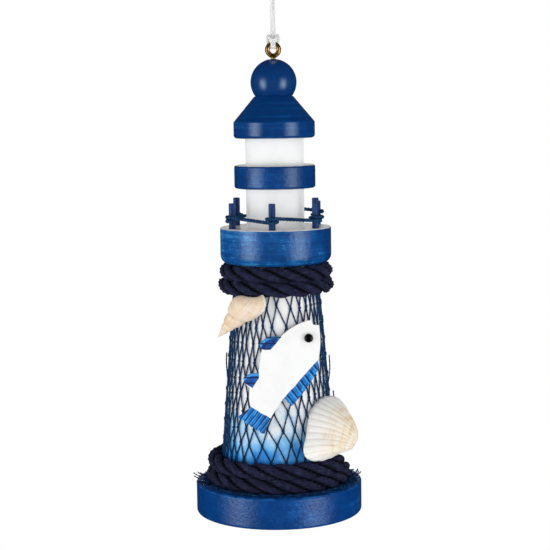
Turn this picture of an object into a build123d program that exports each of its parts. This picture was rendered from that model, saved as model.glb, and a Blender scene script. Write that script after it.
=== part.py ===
from build123d import *
import math
import os

# A hanging lighthouse ornament: turned wooden pieces stacked on dowels, dressed with rope,
# net, shells and a cut-out fish. Millimetres, +Z up, origin at the centre of the base's
# underside. Angles round the tower are counted from the front (-Y) towards +X.

# Turned wooden stack, from the foot up
base_diameter = 70.0
base_height = 13.0
base_bottom_round = 1.2
base_top_round = 0.8
tower_foot_diameter = 48.2
tower_top_diameter = 33.4
tower_height = 92.5
gallery_diameter = 46.4
gallery_height = 15.0
gallery_bottom_round = 3.5
gallery_top_round = 0.5
lantern_diameter = 24.2
lantern_lower_height = 16.2
ring_diameter = 33.8
ring_height = 9.7
ring_round = 1.1
lantern_upper_height = 11.0
roof_diameter = 33.8
roof_rim_height = 6.7
roof_cone_height = 10.5
roof_top_diameter = 16.2
roof_bottom_round = 1.4
roof_shoulder_round = 0.9
ball_diameter = 19.1
ball_seat_diameter = 15.2

# Dowels that line up the turned pieces
dowel_diameter = 8.0
dowel_depth_base = 8.0
dowel_depth_tower = 12.0
dowel_depth_gallery = 7.0
rod_diameter = 6.0
rod_depth_gallery = 5.0
rod_depth_roof = 8.0
finial_dowel_diameter = 5.0
finial_dowel_depth_roof = 6.0
finial_dowel_depth_ball = 5.0
dowel_clearance = 0.05
dowel_end_gap = 0.5

# Railing of six pegs and a cord
post_diameter = 2.8
post_circle_diameter = 39.6
post_first_angle = -4.0
post_socket_depth = 5.0
post_clearance = 0.03
post_top_round = 0.4
post_heights = [10.8, 12.5, 10.1, 11.0, 11.7, 10.5]
railing_cord_diameter = 1.1
railing_cord_gap = 0.08
railing_cord_height = 3.1
railing_wrap_rise = 1.75
railing_approach_lift = 0.85
railing_last_lift = 2.1
railing_tail_length = 2.0

# Ropes and net round the tower
rope_diameter = 6.2
rope_turn_gap = 0.5
rope_seat_gap = 0.1
lower_rope_angles = (57.0, -175.0, -282.0, -522.0)
upper_rope_angles = (140.0, -100.0, -200.0, -443.0)
winding_step = 60.0
net_thickness = 0.7
net_gap = 0.1
net_end_gap = 0.3
net_columns = 24
net_half_rows = 13
net_first_half_row = 6.0
net_strand_width = 0.9
net_cut_margin = 1.5

# Screw eye in the ball
eye_wire_diameter = 2.0
eye_outer_diameter = 6.7
eye_neck_drop = 2.8
eye_neck_height = 0.95
eye_shank_diameter = 1.9
eye_shank_length = 7.0
eye_point_length = 1.2
eye_point_diameter = 0.4
eye_bore_clearance = 0.05

# Hanging cord: its hitch on the eye, two legs and a knot
cord_diameter = 1.0
cord_leg_spacing = 1.44
cord_pivot_height = 4.5
cord_pivot_gap = 0.15
cord_leg_length = 24.0
cord_leg_bend = 60.0
cord_twist_start = 7.0
cord_twist_end = 15.0
cord_twist_radius = 0.9
cord_twist_angle = 60.0
knot_diameter = 3.6
knot_height = 4.4
knot_round = 1.2
knot_bottom_round = 0.3
knot_tail_length = 4.0

# Cut-out fish and its bead eye
fish_thickness = 3.0
fish_angle = 8.0
fish_height = 49.7
fish_lean = 31.3
fish_gap = 0.1
fish_eye_diameter = 3.7
fish_eye_height = 1.4
fish_eye_round = 1.2
fish_eye_place = (16.6, -1.3)

# Spiral shell tucked under the upper rope
spiral_length = 24.8
spiral_body_radius = 5.75
spiral_body_place = 18.3
spiral_spire_length = 13.2
spiral_spire_radius = 3.15
spiral_whorls = 5
spiral_whorl_ratio = 0.68
spiral_whorl_swell = 1.2
spiral_base_step = 1.2
spiral_base_radius = 2.6
spiral_end_radius = 1.15
spiral_angle = -29.0
spiral_sink = 1.9
spiral_apex_step = (-13.1, 6.5, -11.0)
spiral_gap = 0.3

# Cockle shell standing on the lower rope
cockle_width = 28.0
cockle_length = 25.4
cockle_depth = 9.6
cockle_wall = 1.3
cockle_angle = 40.0
cockle_side_step = 5.2
cockle_overhang = 2.2
cockle_gap = 0.25

# Heights of the stack's joints
gallery_z = base_height + tower_height
deck_z = gallery_z + gallery_height
ring_z = deck_z + lantern_lower_height
lantern_upper_z = ring_z + ring_height
roof_z = lantern_upper_z + lantern_upper_height
finial_z = roof_z + roof_rim_height + roof_cone_height
ball_radius = ball_diameter / 2
ball_centre_z = finial_z + math.sqrt(ball_radius**2 - (ball_seat_diameter / 2) ** 2)
ball_top_z = ball_centre_z + ball_radius

# Radii and slope that several pieces share
rope_radius = rope_diameter / 2
tower_slope = (tower_foot_diameter - tower_top_diameter) / 2 / tower_height
tower_tilt = math.degrees(math.atan(tower_slope))
bottom_up = (Align.CENTER, Align.CENTER, Align.MIN)
top_down = (Align.CENTER, Align.CENTER, Align.MAX)

os.makedirs("parts", exist_ok=True)


def keep(builder, name):
    """Labels a finished piece and writes it under its own name."""
    builder.part.label = name
    export_step(builder.part, f"parts/{name}.step")


def tower_radius(z):
    """Radius of the bare tower at a height."""
    return tower_foot_diameter / 2 - tower_slope * (z - base_height)


def net_radius(z):
    """Outer radius of the net at a height."""
    return tower_radius(z) + net_gap + net_thickness


def around(angle, radius, z):
    """Point at an angle round the tower, counted from the front towards +X."""
    turn = math.radians(angle)
    return Vector(radius * math.sin(turn), -radius * math.cos(turn), z)


def biarcs(points, tangents):
    """Joins points by pairs of arcs that leave and reach each of them along its tangent."""
    for here, there, leave, reach in zip(points, points[1:], tangents, tangents[1:]):
        step = there - here
        total = leave + reach
        bend = 2 * (1 - leave.dot(reach))
        along = step.dot(total)
        reach_out = step.dot(step) / (along + math.sqrt(along**2 + bend * step.dot(step)))
        first_corner = here + leave * reach_out
        second_corner = there - reach * reach_out
        middle = (first_corner + second_corner) * 0.5
        TangentArc(here, middle, tangent=leave)
        TangentArc(middle, there, tangent=second_corner - first_corner)


def least_gap(wire, diameter):
    """Least clear distance between stretches of a tube that lie apart along its line."""
    point_step = 0.4 * diameter
    skipped_length = 3 * diameter
    count = int(wire.length / point_step)
    points = [wire.position_at(index / count) for index in range(count + 1)]
    apart = int(skipped_length / (wire.length / count)) + 1
    nearest = min(
        (points[index] - points[other]).length
        for index in range(count + 1)
        for other in range(index + apart, count + 1)
    )
    return nearest - diameter


# Round wooden base with a blind bore for the foot dowel
with BuildPart() as base_disc:
    Cylinder(base_diameter / 2, base_height, align=bottom_up)
    fillet(base_disc.edges().group_by(Axis.Z)[0], base_bottom_round)
    fillet(base_disc.edges().group_by(Axis.Z)[-1], base_top_round)
    with Locations((0, 0, base_height)):
        Hole(dowel_diameter / 2 + dowel_clearance, dowel_depth_base)
keep(base_disc, "base_disc")

# Tapered tower, bored at both ends
with BuildPart() as tower:
    with Locations((0, 0, base_height)):
        Cone(tower_foot_diameter / 2, tower_top_diameter / 2, tower_height, align=bottom_up)
        Cylinder(
            dowel_diameter / 2 + dowel_clearance, dowel_depth_tower, align=bottom_up, mode=Mode.SUBTRACT
        )
    with Locations((0, 0, gallery_z)):
        Hole(dowel_diameter / 2 + dowel_clearance, dowel_depth_tower)
keep(tower, "tower")

# Gallery deck, bored for both dowels and for the railing posts
with BuildPart() as gallery_disc:
    with Locations((0, 0, gallery_z)):
        Cylinder(gallery_diameter / 2, gallery_height, align=bottom_up)
    fillet(gallery_disc.edges().group_by(Axis.Z)[0], gallery_bottom_round)
    fillet(gallery_disc.edges().group_by(Axis.Z)[-1], gallery_top_round)
    with Locations((0, 0, gallery_z)):
        Cylinder(
            dowel_diameter / 2 + dowel_clearance, dowel_depth_gallery, align=bottom_up, mode=Mode.SUBTRACT
        )
    with Locations((0, 0, deck_z)):
        Hole(rod_diameter / 2 + dowel_clearance, rod_depth_gallery)
        with PolarLocations(post_circle_diameter / 2, len(post_heights), start_angle=post_first_angle - 90):
            Hole(post_diameter / 2 + post_clearance, post_socket_depth)
keep(gallery_disc, "gallery_disc")

# Lower lantern drum, bored right through for the rod
with BuildPart() as lantern_lower:
    with Locations((0, 0, deck_z)):
        Cylinder(lantern_diameter / 2, lantern_lower_height, align=bottom_up)
    with Locations((0, 0, ring_z)):
        Hole(rod_diameter / 2 + dowel_clearance, lantern_lower_height)
keep(lantern_lower, "lantern_lower")

# Lantern ring with rounded edges
with BuildPart() as lantern_ring:
    with Locations((0, 0, ring_z)):
        Cylinder(ring_diameter / 2, ring_height, align=bottom_up)
    fillet(lantern_ring.edges().filter_by(GeomType.CIRCLE), ring_round)
    with Locations((0, 0, lantern_upper_z)):
        Hole(rod_diameter / 2 + dowel_clearance, ring_height)
keep(lantern_ring, "lantern_ring")

# Upper lantern drum
with BuildPart() as lantern_upper:
    with Locations((0, 0, lantern_upper_z)):
        Cylinder(lantern_diameter / 2, lantern_upper_height, align=bottom_up)
    with Locations((0, 0, roof_z)):
        Hole(rod_diameter / 2 + dowel_clearance, lantern_upper_height)
keep(lantern_upper, "lantern_upper")

# Roof: a straight rim and a cone with a flat top for the ball
with BuildPart() as roof:
    with BuildSketch(Plane.XZ):
        with BuildLine():
            Polyline(
                (0, roof_z),
                (roof_diameter / 2, roof_z),
                (roof_diameter / 2, roof_z + roof_rim_height),
                (roof_top_diameter / 2, finial_z),
                (0, finial_z),
                close=True,
            )
        make_face()
    revolve(axis=Axis.Z)
    fillet(roof.edges().filter_by(GeomType.CIRCLE).sort_by(Axis.Z)[0], roof_bottom_round)
    shoulder = roof.edges().filter_by(GeomType.CIRCLE).group_by(SortBy.RADIUS)[-1].sort_by(Axis.Z)[-1]
    fillet(shoulder, roof_shoulder_round)
    with Locations((0, 0, roof_z)):
        Cylinder(rod_diameter / 2 + dowel_clearance, rod_depth_roof, align=bottom_up, mode=Mode.SUBTRACT)
    with Locations((0, 0, finial_z)):
        Hole(finial_dowel_diameter / 2 + dowel_clearance, finial_dowel_depth_roof)
keep(roof, "roof")

# Ball with a flat seat, bored for its dowel and for the screw eye
with BuildPart() as ball_finial:
    with Locations((0, 0, ball_centre_z)):
        Sphere(ball_radius)
    with Locations((0, 0, finial_z)):
        Cylinder(ball_diameter, ball_diameter, align=top_down, mode=Mode.SUBTRACT)
        Cylinder(
            finial_dowel_diameter / 2 + dowel_clearance,
            finial_dowel_depth_ball,
            align=bottom_up,
            mode=Mode.SUBTRACT,
        )
    with Locations((0, 0, ball_top_z)):
        Hole(eye_shank_diameter / 2 + eye_bore_clearance, eye_shank_length + dowel_end_gap)
keep(ball_finial, "ball_finial")


# Hidden dowels: each stands on the floor of its lower bore and stops short of its upper one
dowels = {
    "foot_dowel": (dowel_diameter, base_height - dowel_depth_base, base_height + dowel_depth_tower),
    "head_dowel": (dowel_diameter, gallery_z - dowel_depth_tower, gallery_z + dowel_depth_gallery),
    "lantern_rod": (rod_diameter, deck_z - rod_depth_gallery, roof_z + rod_depth_roof),
    "finial_dowel": (
        finial_dowel_diameter,
        finial_z - finial_dowel_depth_roof,
        finial_z + finial_dowel_depth_ball,
    ),
}
for dowel_name, (width, floor_z, ceiling_z) in dowels.items():
    with BuildPart() as dowel:
        with Locations((0, 0, floor_z)):
            Cylinder(width / 2, ceiling_z - floor_z - dowel_end_gap, align=bottom_up)
    keep(dowel, dowel_name)

# Railing posts: pegs standing in their sockets, each cut to its own height
post_angles = [post_first_angle + 360 / len(post_heights) * index for index in range(len(post_heights))]
for index, (post_angle, post_height) in enumerate(zip(post_angles, post_heights)):
    with BuildPart() as railing_post:
        with Locations(around(post_angle, post_circle_diameter / 2, deck_z - post_socket_depth)):
            Cylinder(post_diameter / 2, post_socket_depth + post_height, align=bottom_up)
        fillet(railing_post.edges().group_by(Axis.Z)[-1], post_top_round)
    keep(railing_post, f"railing_post_{index + 1}")

# Railing cord: starts at the back post, takes one turn round each post on its way along the
# front and ends above its own beginning
wrap_radius = post_diameter / 2 + railing_cord_gap + railing_cord_diameter / 2
post_step = 360 / len(post_heights)
post_spacing = post_circle_diameter * math.sin(math.radians(post_step / 2))
cord_low = deck_z + railing_cord_height
cord_high = cord_low + railing_wrap_rise
first_back_angle = post_angles[len(post_heights) // 2]
wraps = []
for stop in range(len(post_heights) + 1):
    stop_angle = first_back_angle + post_step * stop
    arrive = stop_angle - post_step / 2
    depart = stop_angle + post_step / 2 + 360
    wraps.append([stop_angle, arrive, depart, cord_low, cord_high])
wraps[0][1] = wraps[0][2] - 360
wraps[-1][2] = wraps[-1][1] + 360
wraps[-2][4] = cord_high + railing_approach_lift
wraps[-1][3] = cord_high + railing_last_lift
wraps[-1][4] = wraps[-1][3] + railing_wrap_rise


def wrap_stations(wrap, slope_in, slope_out):
    """Points and tangents of one turn of cord round a post, about a quarter turn apart."""
    stop_angle, arrive, depart, low, high = wrap
    centre = around(stop_angle, post_circle_diameter / 2, 0)
    sweep_angle = math.radians(depart - arrive)
    arc_length = wrap_radius * sweep_angle
    count = math.ceil(sweep_angle / (math.pi / 2))
    points = []
    tangents = []
    for station in range(count + 1):
        t = station / count
        rise = (high - low) * (3 * t**2 - 2 * t**3)
        rise += arc_length * (slope_in * (t - 2 * t**2 + t**3) + slope_out * (t**3 - t**2))
        slope = (high - low) * (6 * t - 6 * t**2) / arc_length
        slope += slope_in * (1 - 4 * t + 3 * t**2) + slope_out * (3 * t**2 - 2 * t)
        turn = math.radians(arrive) + sweep_angle * t
        points.append(centre + Vector(wrap_radius * math.sin(turn), -wrap_radius * math.cos(turn), low + rise))
        tangents.append(Vector(math.cos(turn), math.sin(turn), slope).normalized())
    return points, tangents


with BuildPart() as railing_cord:
    with BuildLine() as railing_route:
        slopes = [0]
        for wrap, following in zip(wraps, wraps[1:]):
            slopes.append((following[3] - wrap[4]) / post_spacing)
        slopes.append(0)
        last_point = None
        for wrap, slope_in, slope_out in zip(wraps, slopes, slopes[1:]):
            stations, headings = wrap_stations(wrap, slope_in, slope_out)
            if last_point is None:
                last_point = stations[0] - headings[0] * railing_tail_length
            Line(last_point, stations[0])
            biarcs(stations, headings)
            last_point = stations[-1]
        Line(last_point, last_point + headings[-1] * railing_tail_length)
    railing_wire = railing_route.wire()
    with BuildSketch(Plane(railing_wire @ 0, z_dir=railing_wire % 0)):
        Circle(railing_cord_diameter / 2)
    sweep(path=railing_wire)
keep(railing_cord, "railing_cord")
print(f"railing cord: length {railing_wire.length:.1f}, least gap to itself "
      f"{least_gap(railing_wire, railing_cord_diameter):.2f}")


def rope_line(z):
    """Radius of a rope's centre line where it lies over the net."""
    return net_radius(z) + rope_seat_gap + rope_radius


def rope_point(angle, fall_from, fall_to, high, low):
    """Point of a rope that lies flat, falls by one turn between two angles and lies flat again."""
    share = min(max((fall_from - angle) / (fall_from - fall_to), 0), 1)
    z = high + (low - high) * (3 * share**2 - 2 * share**3)
    return around(angle, rope_line(z), z)


def rope_stations(start, fall_from, fall_to, end, high, low):
    """Points and tangents along a winding, a quarter turn apart or less."""
    points = []
    tangents = []
    angles = []
    for begin, finish in ((start, fall_from), (fall_from, fall_to), (fall_to, end)):
        count = math.ceil((begin - finish) / winding_step)
        angles += [begin + (finish - begin) * index / count for index in range(count)]
    angles.append(end)
    nudge = 0.05
    for angle in angles:
        before = rope_point(angle + nudge, fall_from, fall_to, high, low)
        after = rope_point(angle - nudge, fall_from, fall_to, high, low)
        points.append(rope_point(angle, fall_from, fall_to, high, low))
        tangents.append((after - before).normalized())
    return points, tangents


# Lower rope: its free end shows on the right, it falls to the lower turn at the back right
lower_rope_low = base_height + rope_seat_gap + rope_radius
lower_rope_high = lower_rope_low + rope_diameter + rope_turn_gap
# Upper rope: both ends and the fall are at the back
upper_rope_high = gallery_z - rope_seat_gap - rope_radius
upper_rope_low = upper_rope_high - rope_diameter - rope_turn_gap
windings = {
    "lower_rope": (*lower_rope_angles, lower_rope_high, lower_rope_low),
    "upper_rope": (*upper_rope_angles, upper_rope_high, upper_rope_low),
}
for rope_name, winding in windings.items():
    stations, headings = rope_stations(*winding)
    with BuildPart() as rope:
        with BuildLine() as rope_route:
            Line(stations[0] - headings[0] * rope_diameter, stations[0])
            biarcs(stations, headings)
            Line(stations[-1], stations[-1] + headings[-1] * rope_diameter)
        rope_wire = rope_route.wire()
        with BuildSketch(Plane(rope_wire @ 0, z_dir=rope_wire % 0)):
            Circle(rope_radius)
        sweep(path=rope_wire)
    keep(rope, rope_name)
    print(f"{rope_name}: length {rope_wire.length:.1f}, least gap to itself "
          f"{least_gap(rope_wire, rope_diameter):.2f}")

# Net: a thin cone over the tower with a diamond gap between every four knots
net_low = base_height + net_end_gap
net_high = gallery_z - net_end_gap
net_last_half_row = 2 * (net_high - net_low) / net_half_rows - net_first_half_row
knot_levels = [net_low]
for row in range(net_half_rows):
    share = row / (net_half_rows - 1)
    knot_levels.append(
        knot_levels[-1] + net_first_half_row + (net_last_half_row - net_first_half_row) * share
    )
gap_cutters = []
for row in range(1, net_half_rows):
    level = knot_levels[row]
    half_width = math.pi * net_radius(level) / net_columns
    below = level - knot_levels[row - 1]
    above = knot_levels[row + 1] - level
    strand_inset = net_strand_width / 2 * math.hypot(half_width, below) / below
    knot_inset = net_strand_width / 2 * math.hypot(half_width, below) / half_width
    for column in range(net_columns):
        gap_angle = 360 / net_columns * (column + row % 2 / 2)
        gap_plane = Plane(
            around(gap_angle, tower_radius(level) - net_cut_margin, 0),
            x_dir=around(gap_angle + 90, 1, 0),
            z_dir=around(gap_angle, 1, 0),
        )
        with BuildPart() as gap_cutter:
            with BuildSketch(gap_plane):
                with BuildLine():
                    Polyline(
                        (half_width - strand_inset, level),
                        (0, level + above - knot_inset),
                        (strand_inset - half_width, level),
                        (0, level - below + knot_inset),
                        close=True,
                    )
                make_face()
            extrude(amount=net_gap + net_thickness + 2 * net_cut_margin)
        gap_cutters.append(gap_cutter.part.solid())
with BuildPart() as net:
    with BuildSketch(Plane.XZ):
        with BuildLine():
            Polyline(
                (tower_radius(net_low) + net_gap, net_low),
                (net_radius(net_low), net_low),
                (net_radius(net_high), net_high),
                (tower_radius(net_high) + net_gap, net_high),
                close=True,
            )
        make_face()
    revolve(axis=Axis.Z)
    add(gap_cutters, mode=Mode.SUBTRACT)
keep(net, "net")
print(f"net: {len(gap_cutters)} gaps")

# Screw eye: a drop-shaped ring of wire in the XZ plane on a pointed shank
eye_wire_radius = eye_wire_diameter / 2
eye_radius = eye_outer_diameter / 2 - eye_wire_radius
neck_z = ball_top_z + eye_neck_height
eye_z = neck_z + eye_neck_drop
eye_side_angle = math.degrees(math.acos(eye_radius / eye_neck_drop))
with BuildPart() as screw_eye:
    with BuildLine(Plane.XZ) as eye_route:
        ring_arc = CenterArc((0, eye_z), eye_radius, eye_side_angle - 90, 180 - eye_side_angle)
        Line((0, neck_z), ring_arc @ 0)
    eye_path = eye_route.wire()
    with BuildSketch(Plane(eye_path @ 0, z_dir=eye_path % 0)):
        Circle(eye_wire_radius)
    sweep(path=eye_path)
    mirror(about=Plane.YZ)
    with Locations((0, 0, neck_z)):
        Cylinder(
            eye_shank_diameter / 2,
            eye_neck_height + eye_shank_length - eye_point_length,
            align=top_down,
        )
    with Locations((0, 0, ball_top_z - eye_shank_length + eye_point_length)):
        Cone(eye_point_diameter / 2, eye_shank_diameter / 2, eye_point_length, align=top_down)
keep(screw_eye, "screw_eye")

# Hanging cord's hitch: down in front of the ring's top, through the eye, up behind it and
# across the front of its own legs, as one tube from leg to leg
ring_top_z = eye_z + eye_radius
leg_x = cord_leg_spacing / 2
hitch_side = [
    (-leg_x, 0.0, cord_pivot_height - cord_diameter / 2 - cord_pivot_gap),
    (-leg_x, 0.0, 2.9),
    (-leg_x, -1.75, 0.9),
    (-leg_x, -1.75, -2.1),
    (-leg_x, 1.75, -2.1),
    (-2.15, 1.75, 2.9),
    (-2.15, -2.2, 2.9),
]
hitch_points = hitch_side + [(-x, y, z) for x, y, z in reversed(hitch_side)]
hitch_side_radii = [1.2, 1.5, 1.4, 1.4, 1.2, 1.2]
hitch_radii = hitch_side_radii + hitch_side_radii[::-1]
with BuildPart() as hanging_hitch:
    with BuildLine() as hitch_route:
        FilletPolyline([Vector(point) + Vector(0, 0, ring_top_z) for point in hitch_points], radius=hitch_radii)
    hitch_wire = hitch_route.wire()
    with BuildSketch(Plane(hitch_wire @ 0, z_dir=hitch_wire % 0)):
        Circle(cord_diameter / 2)
    sweep(path=hitch_wire)
keep(hanging_hitch, "hanging_hitch")
print(f"hitch: length {hitch_wire.length:.1f}, bend radii {sorted(set(hitch_radii))}, least gap to itself "
      f"{least_gap(hitch_wire, cord_diameter):.2f}")

# Hanging cord's legs: from the pivot above the hitch up to the knot, turning round each other
pivot_z = ring_top_z + cord_pivot_height
knot_z = pivot_z + cord_leg_length
twist_x = cord_twist_radius * math.cos(math.radians(cord_twist_angle))
twist_y = cord_twist_radius * math.sin(math.radians(cord_twist_angle))
leg_points = [
    (-leg_x, 0.0, pivot_z),
    (-leg_x, 0.0, pivot_z + cord_twist_start),
    (-twist_x, -twist_y, pivot_z + cord_twist_end),
    (-twist_x, -twist_y, knot_z),
]
with BuildPart() as hanging_legs:
    for side in (1, -1):
        side_points = [(side * x, side * y, z) for x, y, z in leg_points]
        with BuildLine() as leg_route:
            FilletPolyline(side_points, radius=cord_leg_bend)
        leg_wire = leg_route.wire()
        with BuildSketch(Plane(leg_wire @ 0, z_dir=leg_wire % 0)):
            Circle(cord_diameter / 2)
        sweep(path=leg_wire)
        with Locations(side_points[0]):
            Sphere(cord_diameter / 2)
keep(hanging_legs, "hanging_legs")
print(f"cord legs: length {leg_wire.length:.1f} each, bend radius {cord_leg_bend}")

# Hanging cord's knot, with its two cut tails
with BuildPart() as hanging_knot:
    with Locations((0, 0, knot_z)):
        Cylinder(knot_diameter / 2, knot_height, align=bottom_up)
    fillet(hanging_knot.edges().filter_by(GeomType.CIRCLE).sort_by(Axis.Z)[-1], knot_round)
    fillet(hanging_knot.edges().filter_by(GeomType.CIRCLE).sort_by(Axis.Z)[0], knot_bottom_round)
    with Locations((-leg_x, 0, knot_z + knot_height / 2), (leg_x, 0, knot_z + knot_height / 2)):
        Cylinder(cord_diameter / 2, knot_height / 2 + knot_tail_length, align=bottom_up)
keep(hanging_knot, "hanging_knot")

# Fish: one flat cut-out with its fins, lying on the net, its own X axis from tail to snout
fish_z = base_height + fish_height
tilt = math.radians(tower_tilt)
lean = math.radians(fish_lean)
outward = around(fish_angle, math.cos(tilt), math.sin(tilt))
upward = around(fish_angle, -math.sin(tilt), math.cos(tilt))
sideways = around(fish_angle + 90, 1, 0)
fish_plane = Plane(
    around(fish_angle, net_radius(fish_z), fish_z) + outward * fish_gap,
    x_dir=sideways * math.sin(lean) + upward * math.cos(lean),
    z_dir=outward,
)
with BuildPart() as fish:
    with BuildSketch(fish_plane):
        with BuildLine():
            Polyline((24.7, 2.0), (23.4, 0.3), (24.5, -1.8))
            ThreePointArc((24.5, -1.8), (18.6, -6.1), (11.6, -9.3))
            Line((11.6, -9.3), (9.2, -11.6))
            ThreePointArc((9.2, -11.6), (0.2, -12.3), (-9.0, -10.6))
            Line((-9.0, -10.6), (-7.9, -6.3))
            ThreePointArc((-7.9, -6.3), (-13.0, -4.9), (-18.4, -4.6))
            Line((-18.4, -4.6), (-25.0, -6.3))
            ThreePointArc((-25.0, -6.3), (-23.7, 0.1), (-24.4, 6.4))
            Line((-24.4, 6.4), (-18.4, 4.6))
            ThreePointArc((-18.4, 4.6), (-15.4, 6.7), (-12.0, 7.2))
            ThreePointArc((-12.0, 7.2), (-11.0, 12.0), (-5.8, 8.0))
            ThreePointArc((-5.8, 8.0), (-1.3, 10.2), (3.9, 11.0))
            ThreePointArc((3.9, 11.0), (6.6, 14.6), (11.9, 8.6))
            ThreePointArc((11.9, 8.6), (18.9, 6.6), (24.7, 2.0))
        make_face()
    extrude(amount=fish_thickness)
keep(fish, "fish")

# Bead eye of the fish, glued on its face
bead_plane = fish_plane.offset(fish_thickness)
with BuildPart() as fish_eye:
    with BuildSketch(bead_plane):
        with Locations(fish_eye_place):
            Circle(fish_eye_diameter / 2)
    extrude(amount=fish_eye_height)
    fillet(fish_eye.edges().sort_by(Axis(bead_plane.origin, bead_plane.z_dir))[-1], fish_eye_round)
keep(fish_eye, "fish_eye")

# Spiral shell: stepped whorls on a slanting axis, its open side set against the net
rope_bottom_line = rope_radius + spiral_body_radius + spiral_gap
spiral_guess_z = upper_rope_low - rope_bottom_line
spiral_line = net_radius(spiral_guess_z) + spiral_body_radius - spiral_sink
spiral_drop = math.sqrt(rope_bottom_line**2 - (rope_line(upper_rope_low) - spiral_line) ** 2)
spiral_centre = around(spiral_angle, spiral_line, upper_rope_low - spiral_drop)
apex_way = Vector(spiral_apex_step).normalized()
spiral_apex = spiral_centre + apex_way * spiral_body_place
spiral_plane = Plane(spiral_apex, x_dir=apex_way * -1, z_dir=apex_way.cross(Vector(0, 0, 1)))
suture_share = spiral_spire_radius / spiral_spire_length
with BuildPart() as spiral_shell:
    with BuildSketch(spiral_plane):
        with BuildLine():
            last_suture = spiral_spire_length
            for whorl in range(spiral_whorls):
                suture = last_suture * spiral_whorl_ratio
                middle = (last_suture + suture) / 2
                ThreePointArc(
                    (last_suture, last_suture * suture_share),
                    (middle, middle * suture_share * spiral_whorl_swell),
                    (suture, suture * suture_share),
                )
                last_suture = suture
            body_end = (spiral_length - spiral_base_step, spiral_base_radius)
            ThreePointArc(
                (spiral_spire_length, spiral_spire_radius),
                (spiral_body_place, spiral_body_radius),
                body_end,
            )
            Polyline(
                body_end,
                (spiral_length, spiral_end_radius),
                (spiral_length, 0),
                (last_suture, 0),
                (last_suture, last_suture * suture_share),
            )
        make_face()
    revolve(axis=Axis(spiral_apex, apex_way))
    with Locations((0, 0, base_height)):
        Cone(
            net_radius(base_height) + spiral_gap,
            net_radius(gallery_z) + spiral_gap,
            tower_height,
            align=bottom_up,
            mode=Mode.SUBTRACT,
        )
keep(spiral_shell, "spiral_shell")

# Cockle shell: a dome with a thin wall, hinge end to the right. Its foot hangs over the front
# of the lower rope, and its upper margin leans on the net.
cockle_half = cockle_width / 2
cockle_foot_z = lower_rope_high + rope_radius - cockle_overhang
cockle_foot_line = rope_line(lower_rope_high) + rope_radius + cockle_gap
cockle_top_line = net_radius(cockle_foot_z + cockle_width) + cockle_gap
cockle_rise = math.asin((cockle_foot_line - cockle_top_line) / cockle_width)
cockle_out = around(cockle_angle, math.cos(cockle_rise), math.sin(cockle_rise))
cockle_side = around(cockle_angle + 90, 1, 0)
cockle_line = (cockle_foot_line + cockle_top_line) / 2
cockle_centre = around(cockle_angle, cockle_line, cockle_foot_z + cockle_half * math.cos(cockle_rise))
cockle_centre += cockle_side * cockle_side_step
cockle_plane = Plane(cockle_centre, x_dir=cockle_side, z_dir=cockle_out)
cockle_rings = [(0.0, 1.0, 0.0), (0.52, 0.82, 0.14), (0.84, 0.5, 0.3), (1.0, 0.14, 0.42)]
with BuildPart() as cockle_shell:
    for height_share, width_share, shift_share in cockle_rings:
        with BuildSketch(cockle_plane.offset(height_share * cockle_depth)):
            with Locations((shift_share * cockle_length / 2, 0)):
                Ellipse(width_share * cockle_length / 2, width_share * cockle_half)
    loft()
    for height_share, width_share, shift_share in cockle_rings:
        with BuildSketch(cockle_plane.offset(height_share * (cockle_depth - cockle_wall))):
            with Locations((shift_share * cockle_length / 2, 0)):
                Ellipse(
                    width_share * (cockle_length / 2 - cockle_wall),
                    width_share * (cockle_half - cockle_wall),
                )
    loft(mode=Mode.SUBTRACT)
keep(cockle_shell, "cockle_shell")
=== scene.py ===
# %% [markdown]
# A hanging lighthouse ornament, dressed for a portrait.
#
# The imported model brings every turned, bent and tied piece at its real size. Wood that was turned on a
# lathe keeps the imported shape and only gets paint. Rope, net, twine and shells are things that a plain
# solid can't show, and the cut-out fish wants a closer outline, so each is modelled again here in its
# own place.

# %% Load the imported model
import math
import random

import bpy
import numpy as np
from mathutils import Matrix, Vector


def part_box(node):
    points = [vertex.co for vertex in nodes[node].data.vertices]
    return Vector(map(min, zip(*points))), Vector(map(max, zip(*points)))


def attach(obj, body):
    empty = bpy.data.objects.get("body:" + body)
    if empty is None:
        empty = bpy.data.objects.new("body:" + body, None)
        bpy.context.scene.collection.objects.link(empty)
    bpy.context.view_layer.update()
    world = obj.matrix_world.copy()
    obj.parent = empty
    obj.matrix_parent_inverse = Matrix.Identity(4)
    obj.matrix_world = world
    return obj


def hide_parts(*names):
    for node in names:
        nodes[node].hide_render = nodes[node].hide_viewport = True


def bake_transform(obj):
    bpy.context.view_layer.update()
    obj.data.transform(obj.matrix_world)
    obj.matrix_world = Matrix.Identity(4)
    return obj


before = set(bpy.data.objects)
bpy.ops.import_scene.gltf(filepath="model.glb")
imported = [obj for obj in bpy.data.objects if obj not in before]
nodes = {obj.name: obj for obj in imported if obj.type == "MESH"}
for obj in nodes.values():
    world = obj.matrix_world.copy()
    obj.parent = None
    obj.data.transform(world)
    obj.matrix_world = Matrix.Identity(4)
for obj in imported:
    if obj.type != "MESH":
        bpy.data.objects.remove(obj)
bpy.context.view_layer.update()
scene = bpy.context.scene
mm = 0.001

# %% [markdown]
# The camera comes first, because it decides what has to look right. The ornament is seen from a little
# above its middle with a long lens, and the picture is a touch askew, so the camera leans by less than
# a degree. The image is square.

# %% Camera
camera_place = (-0.0005, -0.634, 0.1701)
camera_pitch = math.radians(6.3)
camera_lean = math.radians(-0.8)
image_width = 550
focal_length_in_pixels = 1520

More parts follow.
